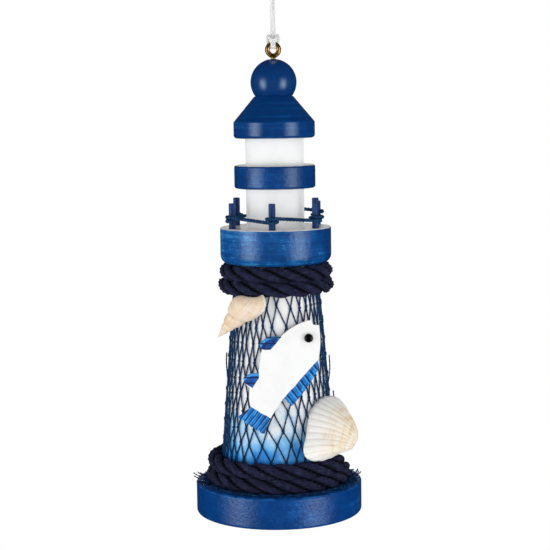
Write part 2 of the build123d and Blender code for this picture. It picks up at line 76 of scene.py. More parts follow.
camera_data = bpy.data.cameras.new("portrait_camera")
camera_data.lens = camera_data.sensor_width * focal_length_in_pixels / image_width
camera = bpy.data.objects.new("portrait_camera", camera_data)
scene.collection.objects.link(camera)
looking = Matrix.Rotation(math.pi / 2 - camera_pitch, 4, "X") @ Matrix.Rotation(camera_lean, 4, "Z")
camera.matrix_world = Matrix.Translation(camera_place) @ looking
scene.camera = camera
print("camera lens in mm:", round(camera_data.lens, 1))

# %% [markdown]
# Materials are small node trees. A class keeps them readable: it adds a node, links whatever it is
# given as a socket, and has a short word for each kind of node that comes up often. A finish is such a
# tree with a shader, and values that are the same all over are set on the shader's own sockets.

# %% Helpers for finishes


def tint(red, green, blue):
    """Colour from 8-bit display values, as the shader wants it."""
    def linear(value):
        share = value / 255
        return share / 12.92 if share <= 0.04045 else ((share + 0.055) / 1.055) ** 2.4
    return (linear(red), linear(green), linear(blue), 1.0)


class Nodes:
    """A node tree with short ways to add to it. Each of them gives what comes out of the new node."""

    def __init__(self, tree):
        self.tree = tree

    def feed(self, socket, value):
        """Links a socket to another one, or sets its value."""
        if isinstance(value, bpy.types.NodeSocket):
            self.tree.links.new(value, socket)
        else:
            socket.default_value = value

    def node(self, kind, sockets=None, **settings):
        """Adds a node. Settings are its properties, sockets its values or links."""
        made = self.tree.nodes.new("ShaderNode" + kind)
        for name, value in settings.items():
            setattr(made, name, value)
        for name, value in (sockets or {}).items():
            self.feed(made.inputs[name], value)
        return made.outputs

    def maths(self, operation, first, second=0.0):
        return self.node("Math", {0: first, 1: second}, operation=operation)[0]

    def times(self, first, second):
        return self.maths("MULTIPLY", first, second)

    def plus(self, first, second):
        return self.maths("ADD", first, second)

    def minus(self, first, second):
        return self.maths("SUBTRACT", first, second)

    def distance(self, first, second):
        """How far two numbers are apart."""
        return self.maths("ABSOLUTE", self.minus(first, second))

    def weighed(self, *parts):
        """Sum of values that are each given with a weight."""
        total, *others = [self.times(value, weight) for value, weight in parts]
        for part in others:
            total = self.plus(total, part)
        return total

    def ramp(self, factor, *stops):
        """Colours along a factor, given as pairs of a place and display values."""
        colour = self.node("ValToRGB", {"Fac": factor})["Color"]
        elements = colour.node.color_ramp.elements
        while len(elements) < len(stops):
            elements.new(0.5)
        for element, (place, values) in zip(elements, stops):
            element.position = place
            element.color = tint(*values)
        return colour

    def mixed(self, factor, first, second):
        """Two colours mixed by a factor."""
        return self.node("Mix", {0: factor, 6: first, 7: second}, data_type="RGBA")[2]

    def spread(self, value, low, high, to_low=0.0, to_high=1.0):
        """A value mapped from one range to another and kept inside it."""
        sockets = {"Value": value, "From Min": low, "From Max": high, "To Min": to_low, "To Max": to_high}
        return self.node("MapRange", sockets)["Result"]

    def object_place(self):
        """The point being shaded, in metres from the object's origin."""
        return self.node("TexCoord")["Object"]

    def lay_place(self):
        """The point being shaded in the map named lay."""
        return self.node("UVMap", uv_map="lay")[0]

    def axes(self, place):
        return self.node("SeparateXYZ", {0: place})

    def stretched(self, place, scale):
        """A place with each axis scaled, so that a texture drawn with it is drawn out."""
        return self.node("Mapping", {"Vector": place, "Scale": scale})[0]

    def noise(self, place, scale, detail=3.0, roughness=0.55):
        """Height of a noise texture, about 0 to 1. Three numbers as its scale draw it out."""
        if isinstance(scale, tuple):
            place = self.stretched(place, scale)
            scale = 1.0
        sockets = {"Vector": place, "Scale": scale, "Detail": detail, "Roughness": roughness}
        return self.node("TexNoise", sockets)["Fac"]


class Finish(Nodes):
    """A material. In the names of its shader's sockets, underscores stand for spaces."""

    def __init__(self, name, **values):
        self.material = bpy.data.materials.new(name)
        self.material.use_nodes = True
        super().__init__(self.material.node_tree)
        self.shader = self.tree.nodes["Principled BSDF"]
        self.set(**values)

    def set(self, **values):
        """Sets or links sockets of the shader."""
        for name, value in values.items():
            self.feed(self.shader.inputs[name.replace("_", " ")], value)

    def coloured(self, factor, *stops):
        """Base colour from a ramp."""
        self.set(Base_Color=self.ramp(factor, *stops))

    def rough(self, value, low, high):
        """Roughness that follows a noise."""
        self.set(Roughness=self.spread(value, 0.3, 0.7, low, high))

    def bump(self, height, strength, depth):
        """Gives the shader a bump from a height."""
        sockets = {"Height": height, "Strength": strength, "Distance": depth}
        self.set(Normal=self.node("Bump", sockets)["Normal"])


print("helpers ready, pure white is", tint(255, 255, 255)[:3])

# %% [markdown]
# The stage is a white room. Two tall soft boxes stand in front, one on each side, and leave the two
# upright bands of light that glossy turned wood shows; they fade to their edges, so the bands do too.
# The other lamps only fill in from the front, the sides and the back, and no reflection shows them. The
# white of the background is what the camera sees, and what reflections of the far side see, so it adds
# no light to the object. Any other reflection finds a dim room. The ornament hangs by its cord, so the
# floor lies well below it.

# %% Stage and light
floor_drop = 0.5
floor_size = 12.0
shadow_reach = 0.6
shadow_white = 0.8
backdrop_edge = 0.985
backdrop_full = 0.9995
pure_white = (1.0, 1.0, 1.0, 1.0)
floor_white = (0.9, 0.9, 0.9, 1.0)
fill_light = (0.395, 0.4, 0.405, 1.0)
dim_room = (0.02, 0.02, 0.022, 1.0)


def white_backdrop(tree, side):
    """1 for rays that should see the white background, from the ray's kind and how far back it looks."""
    path = tree.node("LightPath")
    reflected = tree.maths("MAXIMUM", path["Is Glossy Ray"], path["Is Transmission Ray"])
    behind = tree.spread(side, backdrop_edge, backdrop_full)
    return tree.maths("MAXIMUM", path["Is Camera Ray"], tree.times(reflected, behind))


world = bpy.data.worlds.new("white_room")
world.use_nodes = True
world.cycles.sampling_method = "NONE"
scene.world = world
room = Nodes(world.node_tree)
looks_back = room.axes(room.node("TexCoord")["Generated"])["Y"]
room_colour = room.mixed(room.node("LightPath")["Is Glossy Ray"], fill_light, dim_room)
room_colour = room.mixed(white_backdrop(room, looks_back), room_colour, pure_white)
room.feed(room.tree.nodes["Background"].inputs["Color"], room_colour)

floor_mesh = bpy.data.meshes.new("floor")
half_floor = floor_size / 2
square = ((-1, -1), (1, -1), (1, 1), (-1, 1))
floor_corners = [(x * half_floor, y * half_floor, -floor_drop) for x, y in square]
floor_mesh.from_pydata(floor_corners, [], [(0, 1, 2, 3)])
floor = bpy.data.objects.new("floor", floor_mesh)
scene.collection.objects.link(floor)

floor_paint = Finish("floor_paint", Roughness=0.9)
floor_glossy = floor_paint.node("LightPath")["Is Glossy Ray"]
floor_paint.set(Base_Color=floor_paint.mixed(floor_glossy, floor_white, dim_room))
floor_glow = floor_paint.node("Emission", {"Color": pure_white, "Strength": 1.0})[0]
floor_place = floor_paint.object_place()
from_middle = floor_paint.node("VectorMath", {0: floor_place}, operation="LENGTH")["Value"]
floor_side = floor_paint.maths("DIVIDE", floor_paint.axes(floor_place)["Y"], from_middle)
clear_white = floor_paint.spread(from_middle, shadow_reach, 2 * shadow_reach, shadow_white, 1.0)
glow_share = floor_paint.times(white_backdrop(floor_paint, floor_side), clear_white)
floor_shaders = {0: glow_share, 1: floor_paint.shader.outputs[0], 2: floor_glow}
floor_surface = floor_paint.tree.nodes["Material Output"].inputs["Surface"]
floor_paint.feed(floor_surface, floor_paint.node("MixShader", floor_shaders)[0])
floor_mesh.materials.append(floor_paint.material)


def soft_box(name, azimuth, distance, width, low, high, brightness, shines=True):
    """A lamp that faces the ornament and fades to its edges. Azimuth 0 is the front, counted towards +X."""
    lamp = bpy.data.lights.new(name, "AREA")
    lamp.shape = "RECTANGLE"
    lamp.size = width
    lamp.size_y = high - low
    lamp.energy = brightness * math.pi * lamp.size * lamp.size_y
    lamp.use_nodes = True
    tree = Nodes(lamp.node_tree)
    across = tree.axes(tree.node("NewGeometry")["Parametric"])
    waves = [tree.maths("SINE", tree.times(across[axis], math.pi)) for axis in ("X", "Y")]
    faded = tree.maths("POWER", tree.times(*waves), 2.0)
    tree.feed(tree.tree.nodes["Emission"].inputs["Strength"], tree.times(faded, 4.0))
    box = bpy.data.objects.new(name, lamp)
    turn = math.radians(azimuth)
    box.location = (distance * math.sin(turn), -distance * math.cos(turn), (low + high) / 2)
    box.rotation_euler = (math.pi / 2, 0, turn)
    box.visible_camera = False
    box.visible_glossy = shines
    scene.collection.objects.link(box)


soft_box("soft_box_left", -56, 0.9, 0.9, -0.55, 0.6, 0.86)
soft_box("soft_box_right", 50, 0.9, 0.9, -0.55, 0.6, 0.86)
soft_box("back_fill_left", -150, 1.1, 0.6, -0.4, 0.85, 0.8, shines=False)
soft_box("back_fill_right", 150, 1.1, 0.6, -0.4, 0.85, 0.8, shines=False)
soft_box("front_fill", 0, 1.3, 1.2, -0.75, 0.5, 0.78, shines=False)
soft_box("side_fill_left", -95, 1.2, 0.8, -0.4, 0.95, 0.85, shines=False)
soft_box("side_fill_right", 95, 1.2, 0.8, -0.4, 0.95, 0.85, shines=False)
scene.view_settings.view_transform = "Standard"

# %% [markdown]
# Rope, twine and cord are all tubes that follow a line. A line is a NURBS curve through a few control
# points, read back as points and spaced evenly. A tube carries a ring of points along it. The ring can
# be lobed, and the lobes can turn on the way, which is what plied twine looks like. Every tube also
# gets a map named "lay", across the tube in turns and along it in metres, so that a finish can follow
# the fibres.

# %% Helpers for lines and tubes


def smooth_line(points, step):
    """Evenly spaced points, read from a NURBS curve whose control points are given in metres."""
    data = bpy.data.curves.new("route", "CURVE")
    data.dimensions = "3D"
    data.resolution_u = 12
    spline = data.splines.new("NURBS")
    spline.points.add(len(points) - 1)
    for control, place in zip(spline.points, points):
        control.co = (*place, 1.0)
    spline.order_u = 3
    spline.use_endpoint_u = True
    holder = bpy.data.objects.new("route", data)
    mesh = bpy.data.meshes.new_from_object(holder)
    line = np.array([vertex.co for vertex in mesh.vertices])
    bpy.data.objects.remove(holder)
    bpy.data.curves.remove(data)
    bpy.data.meshes.remove(mesh)
    return even_line(line, step)


def lengths_along(line):
    """Length from the start of a line to each of its points."""
    return np.concatenate([[0.0], np.cumsum(np.linalg.norm(np.diff(line, axis=0), axis=1))])


def even_line(line, step):
    """The same line with points at an even step."""
    along = lengths_along(line)
    wanted = np.linspace(0, along[-1], max(3, int(round(along[-1] / step)) + 1))
    return np.stack([np.interp(wanted, along, line[:, axis]) for axis in range(3)], axis=1)


def carried_frames(line):
    """Two directions square to a line at each point, turned as little as possible on the way."""
    ahead = np.gradient(line, axis=0)
    ahead /= np.linalg.norm(ahead, axis=1)[:, None]
    first = np.cross(ahead[0], (0.0, 0.0, 1.0))
    if np.linalg.norm(first) < 0.1:
        first = np.cross(ahead[0], (0.0, 1.0, 0.0))
    normals = np.zeros_like(line)
    for index, heading in enumerate(ahead):
        first = first - heading * (first @ heading)
        first = first / np.linalg.norm(first)
        normals[index] = first
    return normals, np.cross(ahead, normals)


class Heap:
    """Collects tubes and patches, then turns them into one piece."""

    def __init__(self):
        self.points = []
        self.faces = []
        self.lay = []
        self.count = 0

    def grid(self, rows, lay_rows, closed):
        """Adds rows of points joined by four-sided faces; closed joins each row's ends."""
        rows = np.asarray(rows)
        total, across = rows.shape[:2]
        columns = across if closed else across - 1
        for row in range(total - 1):
            for column in range(columns):
                following = (column + 1) % across
                here = self.count + row * across
                there = here + across
                self.faces.append((here + column, here + following, there + following, there + column))
                low, high = lay_rows[row], lay_rows[row + 1]
                left, right = column / columns, (column + 1) / columns
                self.lay += [(left, low), (right, low), (right, high), (left, high)]
        self.points.append(rows.reshape(-1, 3))
        self.count += total * across
        return self.count - total * across

    def cap(self, start, across, centre, lay, flip):
        """Closes a ring of points with a fan round a centre."""
        self.points.append(np.asarray(centre).reshape(1, 3))
        for column in range(across):
            edge = (start + column, start + (column + 1) % across)
            self.faces.append((*(edge[::-1] if flip else edge), self.count))
            self.lay += [(column / across, lay)] * 3
        self.count += 1

    def tube(self, line, radius, sides, lobes=0, depth=0.0, pitch=1.0):
        """Adds a tube round a line. Lobes stand out by a share of the radius and turn once a pitch."""
        normals, across = carried_frames(line)
        along = lengths_along(line)
        angles = np.arange(sides) * 2 * math.pi / sides
        reach = np.broadcast_to(np.asarray(radius, float).reshape(-1, 1), (len(line), sides)).copy()
        if lobes:
            reach *= 1 + depth * np.cos(lobes * (angles[None, :] - 2 * math.pi * along[:, None] / pitch))
        rings = (
            line[:, None, :]
            + reach[:, :, None] * np.cos(angles)[None, :, None] * normals[:, None, :]
            + reach[:, :, None] * np.sin(angles)[None, :, None] * across[:, None, :]
        )
        start = self.grid(rings, along, True)
        self.cap(start, sides, line[0], along[0], True)
        self.cap(start + (len(line) - 1) * sides, sides, line[-1], along[-1], False)
        return rings

    def piece(self, name, finish, body, slot, *replaced):
        """Makes the piece, shades it smooth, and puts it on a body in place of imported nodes."""
        mesh = bpy.data.meshes.new(name)
        mesh.from_pydata(np.concatenate(self.points).tolist(), [], self.faces)
        layer = mesh.uv_layers.new(name="lay")
        layer.data.foreach_set("uv", np.asarray(self.lay, np.float32).ravel())
        mesh.materials.append(finish.material)
        return dressed(mesh, name, body, slot, *replaced)


def dressed(mesh, name, body, slot, *replaced):
    """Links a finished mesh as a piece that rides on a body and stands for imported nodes."""
    mesh.polygons.foreach_set("use_smooth", [True] * len(mesh.polygons))
    piece = bpy.data.objects.new(name, mesh)
    scene.collection.objects.link(piece)
    if body:
        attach(piece, body)
    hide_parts(*replaced)
    print(f"{name}: {len(mesh.vertices)} points, {len(mesh.polygons)} faces")
    return piece


print("a quarter bend reads back as", len(smooth_line([(0, 0, 0), (1, 0, 0), (1, 1, 0)], 0.1)), "points")

# %% [markdown]
# The hanging cord is thin white braid. It is doubled, passed through the eye, and its two ends are led
# through the bight, so a hitch sits on the ring with an ear on each side. Its route is a list of points:
# one leg down from the knot, round the wire, across the front of both legs, and the same again mirrored.
# They are the solid model's points, moved a little near the hitch so that it sits as tight as a real
# one. Braid spreads where it is bent sharply, so the ears are thicker.

# %% Hanging cord
cord_diameter = 1.0 * mm
knot_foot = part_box("hanging_knot")[0].z
ring_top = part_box("screw_eye")[1].z - 1.0 * mm

left_route = [
    (-0.45, -0.78, (knot_foot - ring_top) / mm),
    (-0.45, -0.78, 19.5),
    (-0.56, 0.0, 11.5),
    (-0.6, 0.0, 6.5),
    (-0.6, -0.1, 3.9),
    (-0.52, -0.6, 2.4),
    (-0.5, -1.75, 0.9),
    (-0.5, -1.75, -1.75),
    (-0.8, 1.75, -1.75),
    (-2.1, 1.75, 0.4),
    (-2.35, 1.2, 2.6),
    (-1.8, -0.7, 3.5),
    (-1.35, -2.5, 2.2),
    (-0.6, -2.6, 1.7),
]
legs_from = 10
right_route = [(-x, -y if z > legs_from else y, z) for x, y, z in reversed(left_route)]
cord_route = [(x * mm, y * mm, z * mm + ring_top) for x, y, z in left_route + right_route]
cord_step = 0.25 * mm
cord_line = smooth_line(cord_route, cord_step)

braid = Finish("white_braid", Roughness=0.75, Sheen_Weight=0.15)
braid_place = braid.stretched(braid.lay_place(), (4.0, 900.0, 1.0))
braid_wave = {"Vector": braid_place, "Scale": 1.0, "Distortion": 0.6}
braid_rows = braid.node("TexWave", braid_wave, bands_direction="DIAGONAL")["Fac"]
braid.coloured(braid_rows, (0.0, (226, 226, 225)), (0.6, (244, 244, 242)))
braid.bump(braid_rows, 0.4, 0.1 * mm)

cord_sides = 12
braided = {"lobes": 3, "depth": 0.07, "pitch": 2.4 * mm}
ear_from, ear_full = 0.9 * mm, 1.5 * mm
ear_swell = 0.4
in_ear = np.clip((np.abs(cord_line[:, 0]) - ear_from) / (ear_full - ear_from), 0.0, 1.0)
cord_heap = Heap()
cord_heap.tube(cord_line, cord_diameter / 2 * (1 + ear_swell * in_ear), cord_sides, **braided)
hanging_cord = cord_heap.piece(
    "hanging_cord", braid, None, "white_cord", "hanging_hitch", "hanging_legs"
)
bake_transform(hanging_cord)

# %% [markdown]
# The two ends of the cord are tied together in a barrel-shaped overhand knot, with two short tails. It
# is the doubled cord wound twice round the legs, so it is a two-start helix; the tails stand out of its
# top.

# %% Knot of the hanging cord
knot_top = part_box("hanging_knot")[1].z
knot_height = 4.4 * mm
knot_wind_radius = 1.3 * mm
knot_turns = 1.9
wind_steps = 23
knot_heap = Heap()
for strand in (0, 1):
    winding = [(0.3 * mm, 0.2 * mm * strand, knot_foot + 0.4 * mm)]
    for index in range(wind_steps + 1):
        share = index / wind_steps
        turn = 2 * math.pi * knot_turns * share + 0.5
        height = knot_foot + (0.55 + 0.95 * strand) * mm + (knot_height - 2.1 * mm) * share
        swell = knot_wind_radius * (0.9 + 0.14 * math.sin(math.pi * share))
        winding.append((swell * math.cos(turn), swell * math.sin(turn), height))
    tail_side = 1 if strand else -1
    winding.append((tail_side * 0.5 * mm, 0.2 * mm, knot_foot + 3.9 * mm))
    winding.append((tail_side * 0.8 * mm, 0.1 * mm, knot_foot + 5.6 * mm))
    winding.append((tail_side * 1.3 * mm, -0.3 * mm, knot_top))
    knot_heap.tube(smooth_line(winding, cord_step), cord_diameter / 2, cord_sides, **braided)
for side in (-1, 1):
    core = [
        (side * 0.45 * mm, side * 0.78 * mm, knot_foot - 0.4 * mm),
        (side * 0.4 * mm, side * 0.5 * mm, knot_foot + 1.5 * mm),
        (side * 0.35 * mm, side * 0.2 * mm, knot_foot + 3.4 * mm),
    ]
    knot_heap.tube(smooth_line(core, cord_step), cord_diameter / 2, cord_sides, **braided)
cord_knot = knot_heap.piece("cord_knot", braid, "loop", "white_cord", "hanging_knot")

# %% [markdown]
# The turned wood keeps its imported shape. What makes it look turned and painted is in the finish: the
# brush ran round the piece as it spun, so the paint has long faint streaks round the axis, thin places
# where it looks lighter, a sandy grain that breaks up the reflections, and edges where it has rubbed
# off. The shine is a little blue, as light that comes back out of thin blue paint is. The ball is the
# smoothest piece, the base and the ring are the sandiest.

# %% Blue paint
blue_shine = (0.7, 0.88, 1.0, 1.0)
rubbed_white = tint(240, 237, 233)
fade_reach = 26 * mm


def turned_paint(name, deep, mid, pale, streaks=0.4, specks=0.0, sand=0.8, gloss=0.75, **marks):
    """Satin paint on turned wood: streaked round the axis, speckled where thin, sandy to the touch."""
    pale_top, pale_edge = marks.get("pale_top"), marks.get("pale_edge")
    fade, matt = marks.get("fade"), marks.get("matt", 0.0)
    coat = Finish(name, Specular_IOR_Level=gloss, Specular_Tint=blue_shine)
    place = coat.object_place()
    axes = coat.axes(place)
    brushed = coat.noise(place, (22, 22, 900), 4.0)
    clouds = coat.noise(place, 75.0, 4.0, 0.6)
    grain = coat.noise(place, 800.0, 4.0, 0.6)
    thin = coat.weighed((brushed, streaks), (clouds, 1 - streaks))
    if fade:
        thin = coat.plus(thin, coat.spread(axes["X"], fade_reach, -fade_reach, -fade, fade))
    colour = coat.ramp(thin, (0.38, deep), (0.55, mid), (0.74, pale))
    fleck = coat.noise(place, (420, 420, 1100), 3.0, 0.7)
    speck_mask = coat.spread(fleck, 0.7 - specks, 0.78 - specks)
    speck_mask = coat.times(speck_mask, coat.spread(thin, 0.42, 0.6))
    colour = coat.mixed(coat.times(speck_mask, 0.7), colour, tint(*pale))
    if pale_edge:
        chipped = coat.spread(coat.noise(place, 300.0), 0.4, 0.6)
        off_edge = coat.distance(axes["Z"], pale_edge)
        chipped = coat.times(chipped, coat.spread(off_edge, 0.6 * mm, 0.1 * mm))
        colour = coat.mixed(coat.times(chipped, 0.75), colour, tint(*pale))
    if pale_top:
        wander = coat.times(coat.noise(place, 260.0), 0.35 * mm)
        white_from = coat.minus(axes["Z"], wander)
        white_top = coat.spread(white_from, pale_top - 0.55 * mm, pale_top - 0.4 * mm)
        colour = coat.mixed(white_top, colour, rubbed_white)
    coat.set(Base_Color=colour)
    coat.rough(grain, 0.11 + matt, 0.2 + matt)
    coat.bump(coat.weighed((grain, 0.85), (brushed, 0.15)), 1.0, sand * 0.06 * mm)
    return coat


deep_blue = (0, 53, 114)
base_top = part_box("base_disc")[1].z
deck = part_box("gallery_disc")[1].z
ring_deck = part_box("lantern_ring")[1].z
blue_finishes = {
    "base_disc": turned_paint(
        "base_blue", deep_blue, (4, 63, 131), (24, 98, 176),
        streaks=0.25, specks=0.08, sand=4.2, pale_edge=base_top - 0.25 * mm,
    ),
    "gallery_disc": turned_paint(
        "gallery_blue", (5, 58, 118), (14, 86, 156), (78, 166, 226),
        specks=0.13, sand=3.4, pale_top=deck, fade=0.05,
    ),
    "lantern_ring": turned_paint(
        "ring_blue", deep_blue, (3, 60, 123), (32, 106, 185), specks=0.08, sand=4.2, pale_top=ring_deck
    ),
    "roof": turned_paint("roof_blue", deep_blue, (2, 59, 121), (16, 92, 161), streaks=0.6, sand=1.2),
    "ball_finial": turned_paint(
        "ball_blue", deep_blue, (1, 56, 117), (12, 82, 149), streaks=0.5, sand=0.4, gloss=1.0, matt=0.05
    ),
}


def paint(finish, *names):
    """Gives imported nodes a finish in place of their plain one."""
    for name in names:
        mesh = nodes[name].data
        mesh.materials.clear()
        mesh.materials.append(finish.material)


for name, finish in blue_finishes.items():
    paint(finish, name)
print("painted blue:", sorted(blue_finishes))

# %% [markdown]
# The two lantern drums are white with a faint upright grain. The tower is white too, and fades to a
# watery blue towards the foot, as if the sea had washed it. Both are paint on wood, so the grain shows
# as relief.

# %% White paint and the washed tower


def white_paint(name):
    """White paint with the wood's upright grain under it, and its colour for more work."""
    white = Finish(name, Specular_IOR_Level=0.3)
    place = white.object_place()
    blotch = white.noise(place, 160.0)
    colour = white.ramp(blotch, (0.3, (248, 248, 247)), (0.62, (254, 254, 253)))
    white.set(Base_Color=colour)
    white.rough(blotch, 0.4, 0.55)
    white.bump(white.noise(place, (900, 900, 35)), 0.25, 0.12 * mm)
    return white, colour


paint(white_paint("drum_white")[0], "lantern_lower", "lantern_upper")

wash_low, wash_high = 20 * mm, 46 * mm
wash_drift = 30 * mm
tower_wash, wash_white = white_paint("tower_wash")
wash_place = tower_wash.object_place()
drift = tower_wash.minus(tower_wash.noise(wash_place, 110.0, 4.0, 0.65), 0.5)
washed = tower_wash.plus(tower_wash.axes(wash_place)["Z"], tower_wash.times(drift, wash_drift))
wash_share = tower_wash.spread(washed, wash_low, wash_high)
wash_blue = tower_wash.ramp(
    wash_share,
    (0.0, (12, 108, 206)),
    (0.25, (48, 152, 236)),
    (0.5, (128, 198, 246)),
    (0.78, (208, 231, 248)),
    (1.0, (243, 244, 244)),
)
tower_colour = tower_wash.mixed(tower_wash.spread(wash_share, 0.75, 1.0), wash_blue, wash_white)
# Grey patches, scattered by noise, darken the white paint here and there.
grey_patch_noise = tower_wash.noise(wash_place, 150.0, 4.0, 0.7)
grey_patches = tower_wash.times(tower_wash.spread(grey_patch_noise, 0.6, 0.76), 0.35)
tower_wash.set(Base_Color=tower_wash.mixed(grey_patches, tower_colour, tint(176, 172, 168)))
paint(tower_wash, "tower")
print("washed blue up to", round(wash_high / mm), "mm")

# %% [markdown]
# The railing posts are dowel pegs dipped in blue, darker and duller than the turned pieces. The dowels
# inside the stack never show, but they are bare wood. The bead eye is glossy black, and the screw eye
# is brass wire, a little tarnished.

# %% Pegs, dowels, bead and brass
peg_blue = Finish("peg_blue", Specular_IOR_Level=0.3)
peg_streaks = peg_blue.noise(peg_blue.object_place(), (1400, 1400, 120))
peg_blue.coloured(peg_streaks, (0.3, (2, 30, 76)), (0.55, (6, 50, 108)), (0.75, (24, 82, 150)))
peg_blue.rough(peg_streaks, 0.22, 0.4)
peg_blue.bump(peg_streaks, 0.3, 0.1 * mm)
posts = [name for name in nodes if name.startswith("railing_post")]
paint(peg_blue, *posts)

bare_wood = Finish("bare_beech", Roughness=0.65)
bare_grain = bare_wood.noise(bare_wood.object_place(), (700, 700, 40), 4.0)
bare_wood.coloured(bare_grain, (0.3, (176, 138, 96)), (0.7, (214, 182, 140)))
paint(bare_wood, "foot_dowel", "head_dowel", "lantern_rod", "finial_dowel")

bead_black = Finish("bead_black", Base_Color=tint(7, 7, 8), Specular_IOR_Level=0.4)
bead_black.rough(bead_black.noise(bead_black.object_place(), 900.0, 2.0), 0.06, 0.16)
paint(bead_black, "fish_eye")

brass = Finish("brass_wire", Metallic=1.0)
tarnish = brass.noise(brass.object_place(), 900.0, 4.0, 0.6)
brass.coloured(tarnish, (0.3, (120, 82, 38)), (0.5, (204, 162, 92)), (0.72, (244, 218, 160)))
brass.rough(tarnish, 0.22, 0.4)
brass.bump(tarnish, 0.15, 0.08 * mm)
paint(brass, "screw_eye")
print("posts:", posts)

# %% [markdown]
# Both ropes are three-strand laid rope, dyed almost black. A rope is a line round the tower, and its
# three strands are tubes that wind round that line like the thread of a right-handed screw. Each strand
# is itself made of yarns laid the other way, so its section is lobed and the lobes turn back against
# the lay. How far a point stands out from the rope's line is kept on the mesh, and the finish paints
# shade into the grooves by it: the deeper a point lies, the nearer black its colour.

# %% Where things lie on the tower
tower_foot_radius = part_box("tower")[1].x
tower_top_radius = 16.7 * mm
tower_low, tower_high = (corner.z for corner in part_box("tower"))


def tower_radius(z):
    """Radius of the bare tower at a height."""
    share = (z - tower_low) / (tower_high - tower_low)
    return tower_foot_radius + (tower_top_radius - tower_foot_radius) * share


def around(angle, radius, z):
    """Point at an angle in degrees round the tower, counted from the front towards +X."""
    turn = math.radians(angle)
    return Vector((radius * math.sin(turn), -radius * math.cos(turn), z))


print("tower radius half way up in mm:", round(tower_radius((tower_low + tower_high) / 2) / mm, 2))

# %% Dyed rope finish
rope_dye = Finish("dyed_rope", Roughness=0.9, Specular_IOR_Level=0.15, Sheen_Weight=0.06)
rope_dye.set(Sheen_Tint=tint(120, 125, 170))
fibre_lines = rope_dye.noise(rope_dye.lay_place(), (30.0, 420.0, 1.0), 4.0, 0.7)
fibre_clouds = rope_dye.noise(rope_dye.object_place(), 420.0)
# Fibres of differing tone; the palest stop is a painted highlight, glints of light on the fibres.
fibre_tone_and_glints = rope_dye.ramp(
    rope_dye.weighed((fibre_lines, 0.65), (fibre_clouds, 0.35)),
    (0.34, (14, 15, 30)),
    (0.5, (31, 33, 58)),
    (0.62, (50, 52, 86)),
    (0.78, (104, 106, 144)),
)
# Painted shade: points that lie deep between the strands get a near-black colour, in place of the shade in
# the grooves.
standing_out = rope_dye.node("Attribute", attribute_name="standing")["Fac"]
painted_groove_shade = rope_dye.spread(standing_out, 0.9, 0.66)
rope_dye.set(Base_Color=rope_dye.mixed(painted_groove_shade, fibre_tone_and_glints, tint(3, 3, 9)))
rope_dye.bump(fibre_lines, 1.0, 0.3 * mm)
print("rope finish nodes:", len(rope_dye.tree.nodes))

# %% Lay the ropes
rope_radius = 3.3 * mm
rope_press = 0.8 * mm
rope_seat = 0.2 * mm
strand_radius = 0.49 * rope_radius
strand_offset = 0.52 * rope_radius
heart_radius = 0.45 * rope_radius
lay_length = 26 * mm
yarns = 7
yarn_lay = {"lobes": yarns, "depth": 0.13, "pitch": -22 * mm}


def winding_points(start, fall_from, fall_to, end, high, low):
    """Control points of a rope that lies flat, falls by one turn between two angles and lies flat again."""
    points = []
    count = int((start - end) / 10)
    for index in range(count + 1):
        angle = start + (end - start) * index / count
        share = min(max((fall_from - angle) / (fall_from - fall_to), 0.0), 1.0)
        z = high + (low - high) * (3 * share**2 - 2 * share**3)
        points.append(around(angle, tower_radius(z) + rope_seat + rope_radius, z))
    first_step = (points[0] - points[1]).normalized() * rope_radius
    last_step = (points[-1] - points[-2]).normalized() * rope_radius
    return [points[0] + first_step, *points, points[-1] + last_step]


def lay_rope(name, points):
    """Three strands wound round a line, as one piece."""
    line = smooth_line(points, 0.6 * mm)
    normals, across = carried_frames(line)
    along = lengths_along(line)
    heap = Heap()
    tubes = [heap.tube(line, heart_radius, 18)]
    for strand in range(3):
        turn = 2 * math.pi * (along / lay_length + strand / 3)
        centre = line + strand_offset * (np.cos(turn)[:, None] * normals + np.sin(turn)[:, None] * across)
        tubes.append(heap.tube(centre, strand_radius, 6 * yarns, **yarn_lay))
    rope = heap.piece(name, rope_dye, "ornament", "rope", name)
    standing = []
    for rings in tubes:
        out = np.linalg.norm(rings - line[:, None, :], axis=2).ravel() / rope_radius
        standing += [*out, 1.0, 1.0]
    rope.data.attributes.new("standing", "FLOAT", "POINT").data.foreach_set("value", standing)
    print(name, "length in mm:", round(along[-1] / mm, 1))


turn_rise = 2 * rope_radius - rope_press
lower_low = base_top + rope_radius
lower_high = lower_low + turn_rise
upper_high = tower_high - rope_radius
upper_low = upper_high - turn_rise
lay_rope("lower_rope", winding_points(57, -175, -282, -522, lower_high, lower_low))
lay_rope("upper_rope", winding_points(140, -100, -200, -443, upper_high, upper_low))

# %% [markdown]
# The net is fish netting: diamonds of plied twine with a knot at every crossing. It was drawn over the
# tower like a sock, so its meshes are open in front and bunched round the back, and no two are quite
# alike. Each knot is a small three-crossing loop of the same twine, and the twines run from knot to
# knot over the wood.

# %% Twine finish
twine_dye = Finish("dyed_twine", Roughness=0.7, Specular_IOR_Level=0.25)
twine_lines = twine_dye.noise(twine_dye.lay_place(), (6.0, 900.0, 1.0))
twine_clouds = twine_dye.noise(twine_dye.object_place(), 500.0, 2.0)
twine_mix = twine_dye.times(twine_dye.plus(twine_lines, twine_clouds), 0.5)
twine_dye.coloured(twine_mix, (0.34, (3, 28, 56)), (0.52, (6, 52, 94)), (0.7, (28, 92, 142)))
twine_dye.bump(twine_lines, 0.5, 0.12 * mm)
print("twine finish nodes:", len(twine_dye.tree.nodes))

